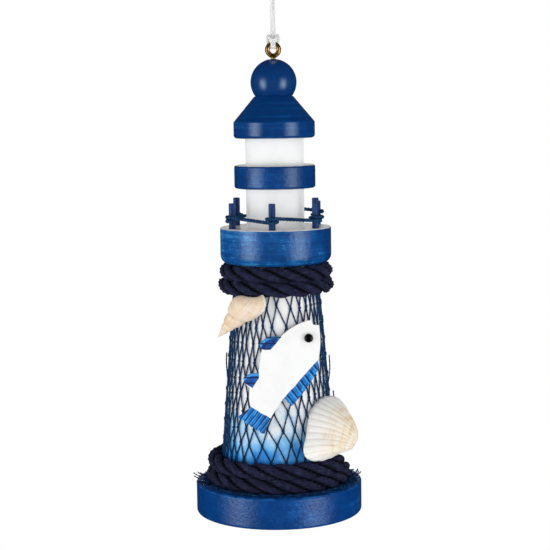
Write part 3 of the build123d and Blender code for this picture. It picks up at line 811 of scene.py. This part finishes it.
# %% Knots of the net
net_half_rows = 13
open_mesh = 17.5
bunched_mesh = 8.4
open_reach = 24.0
open_turn_low, open_turn_high = -14.0, 12.0
drag_turn = -55.0
drag_reach = 25.0
drag_step = 1.0
twine_radius = 0.3 * mm
twine_sides = 6
plied = {"lobes": 2, "depth": 0.13, "pitch": 3.2 * mm}
chance = random.Random(11)
net_low = base_top + 0.8 * mm
net_high = tower_high - 0.8 * mm
first_half_row = 5.9 * mm
last_half_row = 2 * (net_high - net_low) / net_half_rows - first_half_row


def net_level(row):
    """Height of a row of knots, with rows that grow taller upwards."""
    growth = (last_half_row - first_half_row) / (net_half_rows - 1)
    return net_low + row * first_half_row + growth * row * (row - 1) / 2


def counted_columns(row):
    """Angles round the tower, and how many columns of meshes lie before each: fewer where they are wide."""
    turns = np.linspace(-180, 180, 721)
    middle = open_turn_low + (open_turn_high - open_turn_low) * row / net_half_rows
    opened = np.exp(-(((turns - middle) / open_reach) ** 2))
    crowding = 1 / bunched_mesh - (1 / bunched_mesh - 1 / open_mesh) * opened
    steps = (crowding[1:] + crowding[:-1]) / 2 * np.diff(turns)
    return turns, np.concatenate([[0.0], np.cumsum(steps)])


net_columns = round(counted_columns(0)[1][-1])
under_ropes = (0, 1, net_half_rows - 1, net_half_rows)
knots = {}
for row in range(net_half_rows + 1):
    turns, counted = counted_columns(row)
    for column in range(net_columns):
        share = (column + row % 2 / 2) / net_columns
        angle = float(np.interp(share * counted[-1], counted, turns))
        dragged = math.exp(-(((angle - drag_turn) / drag_reach) ** 2)) * drag_step
        angle += dragged * (row - net_half_rows / 2) + chance.uniform(-0.9, 0.9)
        level = net_level(row) + (0 if row in under_ropes else chance.uniform(-0.9, 0.9) * mm)
        lift = 0.3 * mm if row in under_ropes else chance.uniform(0.32, 0.6) * mm
        knots[row, column] = (angle, lift, level)
print(len(knots), "knots in", net_columns, "columns")

# %% Twines of the net
net_heap = Heap()


def net_point(angle, lift, level):
    """A point over the tower's surface."""
    return around(angle, tower_radius(level) + lift, level)


def nearest_turn(angle, other):
    """The other angle, counted so that it is less than half a turn away."""
    return other + 360 * round((angle - other) / 360)


for (row, column), (angle, lift, level) in knots.items():
    if row == net_half_rows:
        continue
    for step in (-1, 0):
        far = knots[row + 1, (column + step + row % 2) % net_columns]
        far_angle = nearest_turn(angle, far[0])
        places = []
        for share in (0.0, 0.3, 0.7, 1.0):
            sag = math.sin(math.pi * share) * chance.uniform(-0.5, 0.5)
            between = angle + (far_angle - angle) * share + sag
            height = level + (far[2] - level) * share
            places.append(net_point(between, lift + (far[1] - lift) * share, height))
        net_heap.tube(smooth_line(places, 0.9 * mm), twine_radius, twine_sides, **plied)
print("net twines:", net_heap.count, "points")

# %% Tie the knots
knot_size = 0.19 * mm
knot_lift = 0.12 * mm
knot_twine = 0.3 * mm
knot_steps = np.linspace(0, 2 * math.pi, 22)
trefoil_x = np.sin(knot_steps) + 2 * np.sin(2 * knot_steps)
trefoil_y = np.cos(knot_steps) - 2 * np.cos(2 * knot_steps)
trefoil_z = -np.sin(3 * knot_steps)
straight_up = np.array((0.0, 0.0, 1.0))
for (row, column), (angle, lift, level) in knots.items():
    if row in under_ropes:
        continue
    outward = np.array(around(angle, 1, 0))
    sideways = np.array(around(angle + 90, 1, 0))
    spin = chance.uniform(0, 2 * math.pi)
    size = knot_size * chance.uniform(0.85, 1.1)
    flat_x = trefoil_x * math.cos(spin) - trefoil_y * math.sin(spin)
    flat_y = trefoil_x * math.sin(spin) + trefoil_y * math.cos(spin)
    loop = 0.8 * flat_x[:, None] * sideways + 1.2 * flat_y[:, None] * straight_up
    loop = loop + 0.9 * trefoil_z[:, None] * outward
    loop = np.array(net_point(angle, lift + knot_lift, level)) + size * loop
    net_heap.tube(loop, knot_twine, 5)
print("with knots:", net_heap.count, "points")

# %% Loose ends of the net
rope_edge = tower_radius(lower_low) + rope_seat + 2 * rope_radius
frayed = base_top + 0.3 * mm
frayed_ends, curled_ends = 190, 22
tuft_turn, tuft_width = 86, 9
thin_twine = 0.25 * mm
for index in range(frayed_ends):
    angle = 360 * index / frayed_ends + chance.uniform(-2, 2)
    tuft = math.exp(-(((abs(nearest_turn(0, angle)) - tuft_turn) / tuft_width) ** 2))
    reach = chance.uniform(0.4, 2.9) * mm + tuft * chance.uniform(1.0, 4.6) * mm
    bend = chance.uniform(-13, 13)
    lift = chance.uniform(0.0, 0.6) * mm + tuft * chance.uniform(0.2, 3.0) * mm
    places = [
        around(angle, tower_radius(net_low) + 0.6 * mm, net_low),
        around(angle + 0.2 * bend, rope_edge - 3.0 * mm, frayed),
        around(angle + 0.5 * bend, rope_edge - 0.6 * mm, frayed),
        around(angle + 0.8 * bend, rope_edge + 0.55 * reach, frayed + 0.3 * lift),
        around(angle + bend, rope_edge + reach, frayed + lift),
    ]
    net_heap.tube(smooth_line(places, 0.8 * mm), thin_twine, 5)
for index in range(curled_ends):
    angle = 360 * index / curled_ends + chance.uniform(-6, 6)
    curl = [rope_edge + chance.uniform(-0.3, 2.4) * mm for _ in range(6)]
    rises = [frayed + chance.uniform(0.0, 0.5) * mm for _ in range(6)]
    places = [around(angle + 2.4 * step, curl[step], rises[step]) for step in range(6)]
    net_heap.tube(smooth_line(places, 0.6 * mm), thin_twine, 5)

stray_ends = (
    (86, 1.3, 57.5, 2.0, 66.0),
    (84, 1.2, 43, 2.4, 51),
    (-83, 1.0, 60, 1.7, 68),
    (150, 1.0, 50, 2.1, 57),
)
for angle, low_lift, low_z, high_lift, high_z in stray_ends:
    places = [
        net_point(angle, 0.6 * mm, (low_z - 3) * mm),
        net_point(angle, low_lift * mm, low_z * mm),
        net_point(angle + 1, high_lift * mm, (low_z + high_z) / 2 * mm),
        net_point(angle + 1.5, high_lift * mm, high_z * mm),
    ]
    net_heap.tube(smooth_line(places, 0.6 * mm), twine_radius, twine_sides, **plied)
net_heap.piece("net", twine_dye, "ornament", "net_twine", "net")

# %% [markdown]
# The railing is one length of the same twine, a little thicker. It arrives low at each post, takes a
# turn round it, and leaves higher for the next. The turns come from a loop over the posts, as the
# control points of one line.

# %% Railing twine
railing_diameter = 1.4 * mm
railing_low = deck + 3.1 * mm
railing_rise = 1.75 * mm
post_boxes = [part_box(f"railing_post_{index}") for index in range(1, 7)]
post_centres = [(low + high) / 2 for low, high in post_boxes]
post_radius = (post_boxes[0][1].x - post_boxes[0][0].x) / 2
post_ring = math.hypot(post_centres[0].x, post_centres[0].y)
first_post_angle = math.degrees(math.atan2(post_centres[3].x, -post_centres[3].y))
wrap_steps = 14
wrap_gap = 0.05 * mm
wrap_radius = (post_radius + railing_diameter / 2 + wrap_gap) / math.cos(math.radians(13))
end_length = 2 * mm

railing_points = []
for stop in range(7):
    post_angle = first_post_angle + 60 * stop
    centre = around(post_angle, post_ring, 0)
    arrive, leave = post_angle - 30, post_angle + 390
    low, high = railing_low, railing_low + railing_rise
    if stop == 0:
        arrive = leave - 360
    if stop == 5:
        high = low + railing_rise + 0.85 * mm
    if stop == 6:
        leave = arrive + 360
        low = railing_low + railing_rise + 2.1 * mm
        high = low + railing_rise
    turn_points = []
    for index in range(wrap_steps + 1):
        share = index / wrap_steps
        turn = arrive + (leave - arrive) * share
        rise = low + (high - low) * (3 * share**2 - 2 * share**3)
        turn_points.append(centre + around(turn, wrap_radius, rise))
    if stop == 0:
        back = (turn_points[0] - turn_points[1]).normalized()
        turn_points.insert(0, turn_points[0] + back * end_length)
    if stop == 6:
        onward = (turn_points[-1] - turn_points[-2]).normalized()
        turn_points.append(turn_points[-1] + onward * end_length)
    railing_points += turn_points
railing_line = smooth_line(railing_points, 0.3 * mm)
railing_heap = Heap()
railing_heap.tube(railing_line, railing_diameter / 2, 14, lobes=2, depth=0.18, pitch=3.0 * mm)
railing_heap.piece("railing_cord", twine_dye, "ornament", "railing_twine", "railing_cord")
print("railing twine length in mm:", round(lengths_along(railing_line)[-1] / mm, 1))

# %% [markdown]
# The fish is sawn from thin board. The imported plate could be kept, but the outline is drawn again here,
# closer to the real one: arcs in the plane of the board, a wavy tail and a straight side. The real edge
# is sanded a little round, which a bevel could give, and here it is left square. The fins are only
# painted, so they are regions of the finish, worked out from the fish's own coordinates.

# %% Fish outline
fish_angle = 8.0
fish_lean = math.radians(33)
fish_height = base_top + 48.7 * mm
board_thickness = 2.3 * mm
fish_shift = 0.6 * mm
net_thickness = 0.8 * mm
glue = 0.1 * mm
tower_tilt = math.atan((tower_foot_radius - tower_top_radius) / (tower_high - tower_low))


def circle(start, middle, end):
    """Centre and radius of the circle through three points of a plane."""
    (ax, ay), (bx, by), (cx, cy) = start, middle, end
    scale = 2 * (ax * (by - cy) + bx * (cy - ay) + cx * (ay - by))
    sa, sb, sc = ax**2 + ay**2, bx**2 + by**2, cx**2 + cy**2
    ux = (sa * (by - cy) + sb * (cy - ay) + sc * (ay - by)) / scale
    uy = (sa * (cx - bx) + sb * (ax - cx) + sc * (bx - ax)) / scale
    return ux, uy, math.hypot(ax - ux, ay - uy)


def arc(start, middle, end, count=14):
    """Points on the circle through three points, without the first."""
    ux, uy, radius = circle(start, middle, end)
    first, mid, last = (math.atan2(y - uy, x - ux) for x, y in (start, middle, end))
    sweep = (last - first) % (2 * math.pi)
    if (mid - first) % (2 * math.pi) > sweep:
        sweep -= 2 * math.pi
    turns = [first + sweep * (index + 1) / count for index in range(count)]
    return [(ux + radius * math.cos(turn), uy + radius * math.sin(turn)) for turn in turns]


def wavy(start, end, waves, depth, count=40):
    """Points along a straight edge with shallow scallops, without the first."""
    (ax, ay), (bx, by) = start, end
    length = math.hypot(bx - ax, by - ay)
    side = ((ay - by) / length, (bx - ax) / length)
    points = []
    for index in range(count):
        share = (index + 1) / count
        out = depth * abs(math.sin(math.pi * waves * share))
        points.append((ax + (bx - ax) * share + side[0] * out, ay + (by - ay) * share + side[1] * out))
    return points


rear_fin_tip = ((-11.6, 9.4), (-11.3, 11.8), (-9.9, 13.3))
rear_fin_top = ((-9.9, 13.3), (-7.1, 11.9), (-5.1, 9.1))
front_fin_tip = ((4.1, 12.9), (4.6, 14.2), (5.7, 14.8))
front_fin_top = ((5.7, 14.8), (9.4, 13.4), (11.9, 9.2))
fish_outline = [(24.7, 2.0), (23.4, 0.3), (24.5, -1.8)]
fish_outline += arc((24.5, -1.8), (18.6, -6.1), (11.6, -9.3))
fish_outline += [(10.4, -10.2), (9.4, -11.0)]
fish_outline += arc((9.4, -11.0), (0.0, -10.9), (-9.4, -9.5), 24)
fish_outline += [(-8.8, -7.5), (-8.2, -5.4)]
fish_outline += arc((-8.2, -5.4), (-13.2, -4.7), (-18.4, -4.6))
fish_outline += [(-21.7, -5.1), (-24.6, -5.8)]
fish_outline += wavy((-24.6, -5.8), (-24.2, 6.8), 5, 0.7)
fish_outline += [(-21.3, 5.5), (-18.4, 4.6)]
fish_outline += arc((-18.4, 4.6), (-16.0, 6.8), (-13.0, 8.5)) + [rear_fin_tip[0]]
fish_outline += arc(*rear_fin_tip, 10) + arc(*rear_fin_top, 10)
fish_outline += arc(rear_fin_top[2], (-1.2, 10.9), (2.4, 12.4)) + [front_fin_tip[0]]
fish_outline += arc(*front_fin_tip, 10) + arc(*front_fin_top, 10)
fish_outline += arc(front_fin_top[2], (18.9, 6.6), (24.7, 2.0))[:-1]
print("fish outline:", len(fish_outline), "points")

# %% Fish paint
fish_paint = Finish("fish_paint", Specular_IOR_Level=0.3)
fish_place = fish_paint.object_place()
fish_axes = fish_paint.axes(fish_place)
wobble = fish_paint.times(fish_paint.minus(fish_paint.noise(fish_place, 260.0), 0.5), 0.9 * mm)
paint_edge = 0.08 * mm
stroke_level = 3.0 * mm


def slanted(across_x, across_y):
    """A coordinate of the fish that runs at a slant, with a hand-painted wobble."""
    along = fish_paint.weighed((fish_axes["X"], across_x), (fish_axes["Y"], across_y))
    return fish_paint.plus(along, wobble)


def beyond(line_start, line_end):
    """1 on the left of a line from start to end, in fish millimetres."""
    (ax, ay), (bx, by) = line_start, line_end
    length = math.hypot(bx - ax, by - ay)
    nx, ny = (ay - by) / length, (bx - ax) / length
    edge = (ax * nx + ay * ny) * mm
    return fish_paint.spread(slanted(nx, ny), edge - paint_edge, edge + paint_edge)


def all_of(mask, *masks):
    """Where every mask is 1."""
    for other in masks:
        mask = fish_paint.times(mask, other)
    return mask


def any_of(mask, *masks):
    """Where any mask is 1."""
    for other in masks:
        mask = fish_paint.maths("MAXIMUM", mask, other)
    return mask


def stripes(spacing, slant, width, shift=0.0):
    """Thin lines across a fin, worked out from a slanting coordinate."""
    phase = fish_paint.maths("DIVIDE", fish_paint.plus(slanted(*slant), shift), spacing)
    off_line = fish_paint.distance(fish_paint.maths("FRACT", phase), 0.5)
    return fish_paint.spread(off_line, width / spacing / 2, width / spacing / 3)


def fin_edge(points, width):
    """A stroke along the outer edge of a fin that is an arc."""
    ux, uy, radius = circle(*points)
    ends = {0: fish_place, 1: (ux * mm, uy * mm, stroke_level)}
    off = fish_paint.plus(fish_paint.node("VectorMath", ends, operation="DISTANCE")["Value"], wobble)
    return fish_paint.spread(off, (radius - width) * mm, (radius - width + 0.2) * mm)


belly_fin = all_of(
    beyond((11.9, -8.8), (-8.2, -5.0)),
    beyond((12.6, -20.0), (12.6, 0.0)),
    beyond((-10.5, 0.0), (-10.5, -20.0)),
)
tail_fin = beyond((-18.2, -20.0), (-18.2, 20.0))
front_fin = all_of(
    beyond((4.0, 10.3), (12.2, 8.9)),
    beyond((3.9, 13.4), (6.0, 9.7)),
    beyond((12.4, 0.0), (12.4, 20.0)),
)
rear_fin = all_of(
    beyond((-11.9, 8.3), (-5.9, 8.0)),
    beyond((-6.7, 8.0), (-4.9, 9.25)),
    beyond((-11.8, 20.0), (-11.3, 8.0)),
)
back_fins = any_of(front_fin, rear_fin)
print("fin masks use", len(fish_paint.tree.nodes), "nodes")

# %% Fin colours
stroke_width = 0.9
belly_slant, tail_slant, back_slant = (0.9, -0.35), (0.12, 1.0), (0.854, 0.52)
fin_streaks = fish_paint.noise(fish_place, (160, 700, 160))
bright_blue = fish_paint.ramp(
    fin_streaks, (0.34, (0, 82, 160)), (0.5, (0, 112, 198)), (0.62, (4, 142, 226)), (0.76, (110, 198, 246))
)
back_blue = fish_paint.ramp(fin_streaks, (0.36, (2, 48, 116)), (0.52, (2, 74, 156)), (0.7, (8, 110, 200)))
fin_blue = fish_paint.mixed(back_fins, bright_blue, back_blue)
edge_strokes = any_of(
    all_of(front_fin, fin_edge(front_fin_top, stroke_width)),
    all_of(rear_fin, fin_edge(rear_fin_top, stroke_width)),
    all_of(front_fin, beyond((-20.0, 14.1), (20.0, 14.1))),
    all_of(rear_fin, beyond((-20.0, 12.6), (20.0, 12.6))),
)
fin_blue = fish_paint.mixed(fish_paint.times(edge_strokes, 0.8), fin_blue, tint(70, 168, 238))
side_strokes = any_of(
    all_of(belly_fin, stripes(2.6 * mm, belly_slant, 0.5 * mm, 0.75 * mm)),
    all_of(tail_fin, stripes(1.9 * mm, tail_slant, 0.4 * mm, 0.5 * mm)),
)
fin_blue = fish_paint.mixed(fish_paint.times(side_strokes, 0.55), fin_blue, tint(92, 180, 240))
fin_lines = any_of(
    all_of(belly_fin, stripes(2.6 * mm, belly_slant, 0.65 * mm)),
    all_of(tail_fin, stripes(1.9 * mm, tail_slant, 0.5 * mm)),
    all_of(back_fins, stripes(2.3 * mm, back_slant, 0.7 * mm)),
)
fin_blue = fish_paint.mixed(fin_lines, fin_blue, tint(4, 30, 84))
fish_blotch = fish_paint.noise(fish_place, 120.0)
fish_white = fish_paint.ramp(fish_blotch, (0.3, (245, 245, 244)), (0.62, (251, 251, 250)))
fins = any_of(belly_fin, tail_fin, back_fins)
fish_paint.set(Base_Color=fish_paint.mixed(fins, fish_white, fin_blue))
fish_paint.rough(fish_blotch, 0.45, 0.6)
fish_paint.bump(fish_paint.noise(fish_place, (120, 900, 400)), 0.2, 0.12 * mm)
print("fish paint nodes:", len(fish_paint.tree.nodes))

# %% Fish board
rim_count = len(fish_outline)
board_points = [(x * mm, y * mm, level) for level in (0.0, board_thickness) for x, y in fish_outline]
back_face = list(range(rim_count))
front_face = [rim_count + index for index in reversed(back_face)]
board_faces = [back_face, front_face]
for here in range(rim_count):
    following = (here + 1) % rim_count
    board_faces.append([here, rim_count + here, rim_count + following, following])
fish_mesh = bpy.data.meshes.new("fish")
fish_mesh.from_pydata(board_points, [], board_faces)
fish_mesh.materials.append(fish_paint.material)
fish_out = around(fish_angle, math.cos(tower_tilt), math.sin(tower_tilt))
fish_up = around(fish_angle, -math.sin(tower_tilt), math.cos(tower_tilt))
fish_side = around(fish_angle + 90, 1, 0)
fish_ahead = fish_side * math.sin(fish_lean) + fish_up * math.cos(fish_lean)
fish_seat = around(fish_angle, tower_radius(fish_height) + net_thickness, fish_height)
fish_seat += fish_out * glue - fish_side * fish_shift
fish_frame = Matrix((fish_ahead, fish_out.cross(fish_ahead), fish_out)).transposed().to_4x4()
fish = dressed(fish_mesh, "fish", None, "fish_paint", "fish")
for face in fish_mesh.polygons:
    face.use_smooth = abs(face.normal.z) < 0.99
fish.matrix_world = Matrix.Translation(fish_seat) @ fish_frame
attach(fish, "ornament")

# %% [markdown]
# The spiral shell grows by the same factor in every turn while it moves along its axis. In section a
# whorl starts at the seam with the one before, swells, and rounds in towards the mouth end. That one
# section, scaled and carried round the axis, gives the tip, the seams and the lip. Fine cords and
# growth folds are added to its wall, and points that would lie inside the net are pushed out onto it,
# as the shell lies against the tower.

# %% Spiral shell
apex = Vector((-24.6, -14.0, 75.9)) * mm
apex_way = Vector((-0.61, 0.26, -0.708)).normalized()
face_out = Vector((0, -1, 0))
face_out = (face_out - apex_way * face_out.dot(apex_way)).normalized()
face_side = apex_way.cross(face_out)
whorl_middle = 21.6 * mm
whorl_radius = 7.25 * mm
to_seam, to_mouth = 0.335, 0.28
flank_slope = 0.2
seam_power, mouth_power = 5.0, 2.0
mouth_end = 0.3
shell_growth = 1.6
shell_turns = 8
mouth_turn = math.radians(280)
cords, cord_height = 11, 0.05 * mm
folds, fold_height = 26, 0.04 * mm
outer_count, inner_count = 40, 10
steps_per_turn = 72
axis_way, out_way, side_way = (np.array(way) for way in (apex_way, face_out, face_side))


def whorl_ring(turns_back, wall=0.0):
    """Section of the shell some turns before its mouth, drawn in by a wall where the lip turns inwards."""
    size = shell_growth**-turns_back
    turn = mouth_turn + 2 * math.pi * turns_back
    share = np.sin(np.linspace(-math.pi / 2, math.pi / 2, outer_count))
    height = 1 + np.where(share < 0, to_seam, to_mouth) * share
    power = np.where(share < 0, seam_power, mouth_power)
    reach = whorl_radius + whorl_middle * flank_slope * np.minimum(height - 1, 0)
    rounding = np.maximum(1 - np.abs(share) ** power, 0.0) ** (1 / power)
    reach = reach * np.where(share < 0, rounding, mouth_end + (1 - mouth_end) * rounding)
    relief = cord_height * np.cos(2 * math.pi * cords * share) + fold_height * math.cos(folds * turn)
    reach = reach + relief * (1 - share**8)
    back = np.linspace(1, -1, inner_count + 2)[1:-1]
    height = np.concatenate([height, 1 + np.where(back < 0, to_seam, to_mouth) * back])
    hollow = np.maximum(mouth_end * (back - 0.2) / 0.8, 0.03)
    reach = np.concatenate([reach, whorl_radius * hollow])
    radial = out_way * math.cos(turn) + side_way * math.sin(turn)
    ring = np.array(apex) + size * (reach[:, None] * radial - whorl_middle * height[:, None] * axis_way)
    inward = ring.mean(axis=0) - ring
    depth = np.linalg.norm(inward, axis=1)[:, None]
    return ring + inward / depth * np.minimum(wall, 0.8 * depth)


lip_rings = ((0.0, 0.35), (0.005, 0.6), (0.03, 0.8), (0.12, 1.0))
ring_count = shell_turns * steps_per_turn
rings = [whorl_ring(shell_turns - index / steps_per_turn) for index in range(ring_count + 1)]
rings += [whorl_ring(turns_back, wall * mm) for turns_back, wall in lip_rings]
spiral_points = np.array(rings)
from_axis = np.hypot(spiral_points[..., 0], spiral_points[..., 1])
least_radius = tower_radius(spiral_points[..., 2]) + net_thickness + glue
spiral_points[..., :2] *= np.maximum(1.0, least_radius / from_axis)[..., None]
widest = spiral_points[:, outer_count // 2]
spiral_lay = lengths_along(widest)
print("spiral shell length in mm:", round((1 + to_mouth) * whorl_middle / mm, 1))

# %% Spiral shell finish
shell_glow = {"Subsurface_Weight": 0.08, "Subsurface_Radius": (0.6 * mm, 0.4 * mm, 0.25 * mm)}
cream = Finish("spiral_cream", Specular_IOR_Level=0.4, **shell_glow)
cream_place = cream.lay_place()
cream_axes = cream.axes(cream_place)
growth_lines = cream.noise(cream_place, (1.5, 1100.0, 1.0))
spiral_threads = cream.noise(cream_place, (48.0, 10.0, 1.0), 2.0)
stain = cream.noise(cream.object_place(), 260.0, 4.0, 0.65)
cream_colour = cream.ramp(
    cream.weighed((stain, 0.42), (growth_lines, 0.38), (spiral_threads, 0.2)),
    (0.36, (226, 186, 146)),
    (0.45, (235, 209, 178)),
    (0.54, (240, 224, 203)),
    (0.66, (245, 234, 220)),
)
blush = cream.spread(cream.noise(cream.object_place(), 170.0, 2.0), 0.55, 0.7, 0.0, 0.45)
cream_colour = cream.mixed(blush, cream_colour, tint(238, 204, 186))
seam = cream.spread(cream_axes["X"], 0.13, 0.08, 0.0, 0.75)
cream_colour = cream.mixed(seam, cream_colour, tint(198, 158, 112))
lip_place = float(spiral_lay[-1 - len(lip_rings)])
lip_share = cream.spread(cream_axes["Y"], lip_place - 2.2 * mm, lip_place - 0.7 * mm)
cream.set(Base_Color=cream.mixed(lip_share, cream_colour, tint(250, 246, 238)))
cream.rough(stain, 0.35, 0.55)
cream.bump(cream.times(cream.plus(growth_lines, spiral_threads), 0.6), 0.4, 0.2 * mm)

around_ring = outer_count + inner_count
spiral_heap = Heap()
spiral_start = spiral_heap.grid(spiral_points, spiral_lay, True)
spiral_heap.cap(spiral_start, around_ring, spiral_points[0].mean(axis=0), 0.0, True)
last_ring = spiral_start + (len(rings) - 1) * around_ring
spiral_heap.cap(last_ring, around_ring, spiral_points[-1].mean(axis=0), lip_place, False)
spiral_heap.piece("spiral_shell", cream, "ornament", "spiral_shell", "spiral_shell")

# %% [markdown]
# The cockle is one valve of a clam. A shell grows by adding to its margin: every earlier margin is a
# smaller copy of the last one, turned up towards the beak. So the mesh is a grid of growth by places
# round the margin. A corner at one end and a shoulder near the beak make it as lopsided as the real
# one. Ribs fan out from the beak and end as small scallops, and a modifier gives the wall its
# thickness.

# %% Cockle finish
cockle_ribs = 25
chalk = Finish("cockle_cream", Specular_IOR_Level=0.35, **shell_glow)
chalk_place = chalk.lay_place()
chalk_axes = chalk.axes(chalk_place)
band_drift = chalk.times(chalk.minus(chalk.noise(chalk.object_place(), 150.0), 0.5), 0.25)
band_noise = chalk.noise(chalk_place, (2.5, 14.0, 1.0), 4.0, 0.65)
rib_noise = chalk.noise(chalk_place, (60.0, 6.0, 1.0))
cockle_bands = chalk.ramp(
    chalk.weighed((band_noise, 0.6), (rib_noise, 0.4)),
    (0.36, (217, 187, 146)),
    (0.46, (240, 222, 194)),
    (0.55, (247, 239, 226)),
    (0.68, (250, 247, 241)),
)
margin_share = chalk.spread(chalk.plus(chalk_axes["Y"], band_drift), 0.6, 0.85)
cockle_colour = chalk.mixed(margin_share, cockle_bands, tint(249, 247, 242))
rib_phase = chalk.maths("FRACT", chalk.times(chalk_axes["X"], float(cockle_ribs)))
groove = chalk.times(chalk.spread(chalk.distance(rib_phase, 0.5), 0.16, 0.02), 0.24)
chalk.set(Base_Color=chalk.mixed(groove, cockle_colour, tint(196, 172, 146)))
chalk.rough(rib_noise, 0.42, 0.62)
chalk.bump(chalk.noise(chalk_place, (4.0, 60.0, 1.0)), 0.35, 0.2 * mm)
print("cockle finish nodes:", len(chalk.tree.nodes))

# %% Cockle shell
cockle_width = 26.8 * mm
cockle_length = 22.2 * mm
cockle_curl = 0.82
cockle_wall = 0.8 * mm
cockle_angle = 40.6
cockle_turn = math.radians(42)
cockle_hinge = 9.0
rib_height = 0.3 * mm
first_growth = 0.09
corner_reach, corner_turn, corner_width = 0.4, math.radians(88), math.radians(33)
shoulder_reach, shoulder_turn, shoulder_width = 0.62, math.radians(40.6), math.radians(31.8)
seat_aside, seat_up = 6.0 * mm, 2.8 * mm
shell_gap = 0.25 * mm
below_rope_top = 2.2 * mm
cockle_foot = lower_high + rope_radius - below_rope_top
foot_line = tower_radius(lower_high) + rope_seat + 2 * rope_radius + shell_gap
top_line = tower_radius(cockle_foot + cockle_width) + net_thickness + shell_gap
cockle_rise = math.asin((foot_line - top_line) / cockle_width)
cockle_out = around(cockle_angle, math.cos(cockle_rise), math.sin(cockle_rise))
cockle_side = around(cockle_angle + 90, 1, 0)
cockle_up = cockle_out.cross(cockle_side)
cockle_level = cockle_foot + cockle_width / 2 * math.cos(cockle_rise)
cockle_seat = around(cockle_angle, (foot_line + top_line) / 2, cockle_level)
cockle_seat += cockle_side * seat_aside + cockle_up * seat_up
to_margin = cockle_up * math.sin(cockle_turn) - cockle_side * math.cos(cockle_turn)
hinge_way = cockle_out.cross(to_margin)
beak = cockle_seat - to_margin * cockle_length / 2

fan_steps = cockle_ribs * 8
growth_steps = 48
fans = np.linspace(0, 1, fan_steps + 1)[None, :]
grown = np.exp(np.linspace(math.log(first_growth), 0, growth_steps + 1))[:, None]
margin_turn = np.radians(cockle_hinge + (360 - 2 * cockle_hinge) * fans)
curl = -np.log(grown) / cockle_curl
corner = 1 + corner_reach * np.exp(-(((margin_turn - corner_turn) / corner_width) ** 2))
shoulder = shoulder_reach * np.exp(-(((margin_turn - shoulder_turn) / shoulder_width) ** 2))
corner = corner + shoulder * (1 - grown)
ahead = grown * cockle_length / 2 * (1 - np.cos(margin_turn)) * corner
aside = grown * cockle_width / 2 * np.sin(margin_turn) * corner
shell = np.stack([ahead * np.cos(curl), aside, ahead * np.sin(curl)], axis=2)
face_way = np.cross(np.gradient(shell, axis=1), np.gradient(shell, axis=0))
face_way /= np.linalg.norm(face_way, axis=2)[..., None]
ribs = np.sqrt(np.abs(np.cos(math.pi * cockle_ribs * fans))) - 0.6
shell += (rib_height * grown**0.8 * ribs)[..., None] * face_way
shell = np.array(beak) + shell @ np.array((to_margin, hinge_way, cockle_out))
cockle_heap = Heap()
cockle_heap.grid(shell, grown[:, 0], False)
cockle = cockle_heap.piece("cockle_shell", chalk, "ornament", "cockle_shell", "cockle_shell")
wall = cockle.modifiers.new("wall", "SOLIDIFY")
wall.thickness = cockle_wall
wall.offset = -1
print("cockle faces look out:", face_way[growth_steps // 2, fan_steps // 2, 2] > 0)
